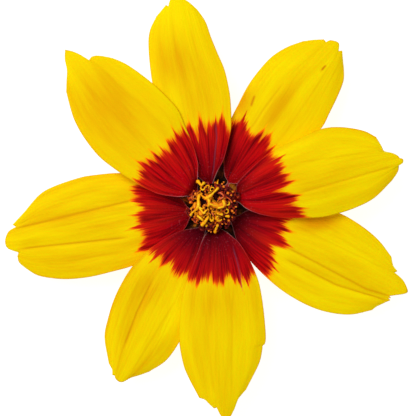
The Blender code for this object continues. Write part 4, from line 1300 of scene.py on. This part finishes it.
# The disc's floor: dark tissue that shows as shadow between the florets
def makeDiscCore():
    radii = np.linspace(0.0, disc["domeRadius"], disc["coreRings"])
    dome = np.column_stack([radii, domeHeight(radii, 0.0) - disc["coreSink"]])
    profile = np.vstack([dome, disc["coreFoot"]])
    core = newObject("discCore", turnedMesh("discCore", profile, disc["coreSteps"]))
    bed, tree, shader = newMaterial("discBed", Roughness=0.8, Specular_IOR_Level=0.1)
    place = addNode(tree, "ShaderNodeTexCoord", output="Object")
    patches = addNode(tree, "ShaderNodeTexNoise", {"Vector": place, "Scale": 3.0 / mm, "Detail": 2.0})
    colour = addNode(
        tree, "ShaderNodeValToRGB", [patches], [(0.35, "#140204"), (0.55, "#3C0A08"), (0.7, "#6A1C0C")]
    )
    tree.links.new(colour, shader.inputs["Base Color"])
    core.data.materials.append(bed)
    return core


def makeDisc():
    floret = newObject("floret", floretMesh())
    values = {
        "Floret": floret,
        "Smallest": disc["floretSize"][0],
        "Largest": disc["floretSize"][1],
        "Crumple": disc["floretCrumple"] * mm,
        "Crumple scale": disc["crumpleScale"] / mm,
        "Seed": disc["seed"],
        "Material": corollaMaterial(),
    }
    florets = runTree(bpy.data.objects.new("discFlorets", floretSeats()), floretTree(), values)
    bpy.data.objects.remove(floret)

    over = disc["styleLift"]
    folds = limbsOver(styles, over - disc["foldDrop"], disc["foldWidth"])
    limbs = {
        "styles": limbsOver(styles, over),
        "amberTissue": folds + limbsOver(sheets, over),
        "curledLobes": limbsOver(curlWays(), over),
        "ribbons": limbsOver(ribbons, over),
        "antherTips": antherLimbs(),
    }
    sweep = limbTree()
    pieces = [florets, makeDiscCore()]
    for name, look in limbLooks.items():
        bump = disc["foldBump" if name == "amberTissue" else "styleBump"]
        values = {
            "Sides": disc["sides"],
            "Bump": bump * mm,
            "Bump scale": disc["bumpScale"] / mm,
            "Material": limbMaterial(*look),
        }
        pieces.append(runTree(limbCurves(name, limbs[name]), sweep, values))
        print("disc:", name, len(limbs[name]))
    for piece in pieces:
        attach(piece, "root")
        piece.data.shade_smooth()
    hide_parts("disc_florets")


# Inner bracts: eight lobes that stand out of one ring under the petals' feet. Lengths in mm.
bracts = {
    "count": 8,
    "azimuth": 40.0,
    "profile": [(2.2, 2.45), (2.95, 2.75), (3.35, 3.1), (4.2, 3.4), (6.2, 3.75)],
    "notchReach": 3.9,
    "roundness": 1.6,
    "columns": 30,
    "rows": 26,
    "thickness": 0.3,
    "ribHeight": 0.05,
    "ribWaves": 3.0,  # ribs from a lobe's middle to its edge
    "ribRadii": (3.0, 3.6),  # from where the ribs rise, and where they are full
    "lobeLength": 2.0,
    "lineScale": (14.0, 0.7, 0.3),  # how fine the dark lines are, across, along and by the margin
    "mottling": 0.9,
    "darkening": 0.35,
    # Painted light: places painted paler, as if lit, as (x, y, reach, strength)
    "sunlit": [
        (2.3, 2.35, 0.75, 0.95), (-3.5, 0.8, 0.9, 0.6), (-2.25, -2.4, 0.28, 0.8), (-2.8, -2.4, 0.7, 0.25),
        (0.75, 3.9, 0.6, 0.4), (3.1, -0.9, 0.6, 0.5), (1.9, -2.9, 0.45, 0.35),
    ],
}


def makeInnerBracts():
    rim = np.array(bracts["profile"])
    turn = np.linspace(0.0, bracts["count"], bracts["count"] * bracts["columns"] + 1)[None, ::-1]
    along = np.linspace(0.0, 1.0, bracts["rows"] + 1)[:, None]
    fromMiddle = np.abs(2.0 * (turn - np.floor(turn)) - 1.0)
    lobe = 1.0 - fromMiddle ** bracts["roundness"]
    reach = bracts["notchReach"] + lobe * (rim[-1, 0] - bracts["notchReach"])
    radius = rim[0, 0] + along * (reach - rim[0, 0])
    height = np.interp(radius, rim[:, 0], rim[:, 1])
    ribs = np.abs(np.cos(fromMiddle * math.pi * bracts["ribWaves"])) * bracts["ribHeight"]
    height = height - ribs * smoothStep(*bracts["ribRadii"], radius)
    angle = np.radians(bracts["azimuth"] + (turn - 0.5) * 360.0 / bracts["count"])
    x, y = radius * np.cos(angle), radius * np.sin(angle)
    sunlit = np.zeros_like(x)
    for placeX, placeY, spread, strength in bracts["sunlit"]:
        sunlit += strength * np.exp(-((x - placeX) ** 2 + (y - placeY) ** 2) / spread**2)
    edge = np.broadcast_to((1.0 - along) * bracts["lobeLength"], radius.shape)
    attributes = {
        "lobe": np.stack([np.broadcast_to(turn, radius.shape), radius, edge], axis=-1),
        "edge": edge,
        "sunlit": sunlit,
    }
    mesh = gridMesh("innerBracts", np.stack([x, y, height], axis=-1), attributes, closed=True)
    mesh.materials.append(bractMaterial())
    piece = newObject("innerBracts", mesh)
    solidify = piece.modifiers.new("thickness", "SOLIDIFY")
    solidify.thickness = bracts["thickness"] * mm
    solidify.offset = 0.0
    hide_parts("inner_bracts")
    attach(piece, "root")
    print("inner bracts:", bracts["count"])


# Bract membrane: papery brown tissue with dark lines along each lobe and a thin golden margin. Its light and
# shade are painted: paler where it is painted as if lit, and near black between those places as painted shade
def bractMaterial():
    material, tree, shader = newMaterial("bractMembrane", Roughness=0.6, Specular_IOR_Level=0.15)
    lobe = addNode(tree, "ShaderNodeAttribute", output="Vector", attribute_name="lobe")
    edge, sunlit = [
        addNode(tree, "ShaderNodeAttribute", output="Fac", attribute_name=label)
        for label in ("edge", "sunlit")
    ]
    place = addNode(tree, "ShaderNodeVectorMath", [lobe, bracts["lineScale"]], operation="MULTIPLY")
    lines = addNode(tree, "ShaderNodeTexNoise", {"Vector": place, "Scale": 1.0, "Detail": 3.0})
    tone = addNode(tree, "ShaderNodeMath", [lines, bracts["mottling"], sunlit], operation="MULTIPLY_ADD")
    spread = addNode(tree, "ShaderNodeMath", [tone, bracts["darkening"]], operation="SUBTRACT")
    colour = addNode(
        tree, "ShaderNodeValToRGB", [spread],
        [(0.0, "#0C0403"), (0.3, "#301608"), (0.6, "#6E3C10"), (0.85, "#C87814"), (1.0, "#E0A030")],
    )
    margin = addNode(
        tree, "ShaderNodeMapRange", {"Value": edge, "From Min": 0.35, "From Max": 0.05, "To Max": 0.8}
    )
    edged = addNode(tree, "ShaderNodeMix", [margin, colour, linear("#A47A24")], data_type="RGBA")
    tree.links.new(edged, shader.inputs["Base Color"])
    return material


# Receptacle, with the snipped stem end and the outer bractlets. Lengths in mm.
cup = {
    "profile": [
        (0.0, 5.3), (1.7, 5.3), (2.0, 5.22), (2.25, 5.0), (2.25, 2.4), (2.1, 2.05), (1.7, 1.5), (1.25, 1.0),
        (1.1, 0.7), (1.1, 0.06), (1.04, 0.0), (0.0, 0.0),
    ],
    "steps": 72,
    "bractletCount": 8,
    "bractletAzimuth": 17.5,
    "rootRadius": 1.0,
    "rootHeight": 1.55,
    "reach": 6.4,
    "tipHeight": 0.2,
    "crown": 0.55,
    "halfWidth": 0.5,
    "tipHalfWidth": 0.1,
    "taperStart": 0.4,
    "thickness": 0.42,
    "thinning": 0.35,  # share of the thickness that is lost towards the tip
    "grooveDepth": 0.07,
    "grooveWidth": 0.22,  # share of the half width
    "clearance": 0.01,  # height that the underside keeps
    "rows": 28,
    "columns": 10,
    "sharpAngle": 50.0,  # degrees above which an edge looks sharp
}


# One outer bractlet along +X: it leaves the cup, arches over and comes down to the surface
def bractletMesh():
    along = np.linspace(0.0, 1.0, cup["rows"] + 1)[:, None]
    side = np.linspace(1.0, -1.0, cup["columns"] + 1)[None, :]
    reach = cup["rootRadius"] + along * (cup["reach"] - cup["rootRadius"])
    narrowing = smoothStep(cup["taperStart"], 1.0, along)
    halfWidth = cup["halfWidth"] + narrowing * (cup["tipHalfWidth"] - cup["halfWidth"])
    height = cup["rootHeight"] + along * (cup["tipHeight"] - cup["rootHeight"])
    height = height + cup["crown"] * np.sin(math.pi * along)
    middle = 1.0 - side**2
    half = cup["thickness"] * (1.0 + middle) / 4 * (1.0 - cup["thinning"] * narrowing)
    groove = cup["grooveDepth"] * np.exp(-((side / cup["grooveWidth"]) ** 2))
    x = np.broadcast_to(reach, half.shape)
    y = side * halfWidth
    top = np.stack([x, y, height + half - groove], axis=-1)
    bottom = np.stack([x, y, np.maximum(height - half, cup["clearance"])], axis=-1)
    ring = np.concatenate([top, bottom[:, ::-1], top[:, :1]], axis=1)
    ends = [np.broadcast_to(ring[row].mean(axis=0), ring[row].shape) for row in (0, -1)]
    ring = np.concatenate([ends[0][None], ring, ends[1][None]], axis=0)
    return gridMesh("bractlet", ring, closed=True)


# Repeats the bractlet round the cup
def bractletTree():
    tree, given = newTree(
        "bractletRing",
        {
            "Geometry": "Geometry",
            "Bractlet": "Object",
            "Count": "Int",
            "First angle": "Float",
            "Material": "Material",
        },
    )
    index = addNode(tree, "GeometryNodeInputIndex")
    step = addNode(tree, "ShaderNodeMath", [math.tau, given["Count"]], operation="DIVIDE")
    angle = addNode(tree, "ShaderNodeMath", [index, step, given["First angle"]], operation="MULTIPLY_ADD")
    turned = addNode(tree, "FunctionNodeAxisAngleToRotation", {"Axis": (0.0, 0.0, 1.0), "Angle": angle})
    points = addNode(tree, "GeometryNodePoints", [given["Count"]])
    blade = addNode(tree, "GeometryNodeObjectInfo", [given["Bractlet"]], output="Geometry")
    ring = addNode(
        tree, "GeometryNodeInstanceOnPoints", {"Points": points, "Instance": blade, "Rotation": turned}
    )
    joined = addNode(tree, "GeometryNodeJoinGeometry", [ring])
    tree.links.new(given["Geometry"], joined.node.inputs[0])
    finishTree(tree, joined, given["Material"])
    return tree


# Green skin: smooth and slightly waxy, lighter where the stem is cut, and near black maroon above the bracts,
# partly as the florets' bases and partly as painted shade under the disc
def greenMaterial():
    material, tree, shader = newMaterial(
        "greenSkin", Roughness=0.48, Specular_IOR_Level=0.4, Subsurface_Weight=0.1, Subsurface_Scale=0.3 * mm
    )
    place = addNode(tree, "ShaderNodeTexCoord", output="Object")
    patches = addNode(tree, "ShaderNodeTexNoise", {"Vector": place, "Scale": 1.4 / mm, "Detail": 4.0})
    colour = addNode(
        tree, "ShaderNodeValToRGB", [patches], [(0.3, "#4C6A22"), (0.5, "#64862E"), (0.7, "#86A446")]
    )
    height = addNode(tree, "ShaderNodeSeparateXYZ", [place], output="Z")
    cut = addNode(
        tree, "ShaderNodeMapRange",
        {"Value": height, "From Min": 0.06 * mm, "From Max": 0.02 * mm, "To Max": 0.8},
    )
    pale = addNode(tree, "ShaderNodeMix", [cut, colour, linear("#C4CE96")], data_type="RGBA")
    # painted shade and floret bases: near black maroon above the bracts
    shadeStain = addNode(
        tree, "ShaderNodeMapRange",
        {"Value": height, "From Min": 2.8 * mm, "From Max": 4.0 * mm, "To Max": 0.92},
    )
    shadeStained = addNode(tree, "ShaderNodeMix", [shadeStain, pale, linear("#2C0A08")], data_type="RGBA")
    tree.links.new(shadeStained, shader.inputs["Base Color"])
    grain = addNode(tree, "ShaderNodeTexNoise", {"Vector": place, "Scale": 6.0 / mm, "Detail": 2.0})
    bump = addNode(tree, "ShaderNodeBump", {"Height": grain, "Strength": 0.3, "Distance": 0.03 * mm})
    tree.links.new(bump, shader.inputs["Normal"])
    return material


def makeReceptacle():
    body = bpy.data.objects.new("receptacleCup", turnedMesh("receptacleCup", cup["profile"], cup["steps"]))
    bractlet = newObject("bractlet", bractletMesh())
    values = {
        "Bractlet": bractlet,
        "Count": cup["bractletCount"],
        "First angle": math.radians(cup["bractletAzimuth"]),
        "Material": greenMaterial(),
    }
    piece = runTree(body, bractletTree(), values)
    bpy.data.objects.remove(bractlet)
    piece.data.shade_smooth()
    piece.data.set_sharp_from_angle(angle=math.radians(cup["sharpAngle"]))
    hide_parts("receptacle")
    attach(piece, "root")
    print("receptacle: bractlets", cup["bractletCount"])


makeStudio()
makePetals()
makeDisc()
makeInnerBracts()
makeReceptacle()
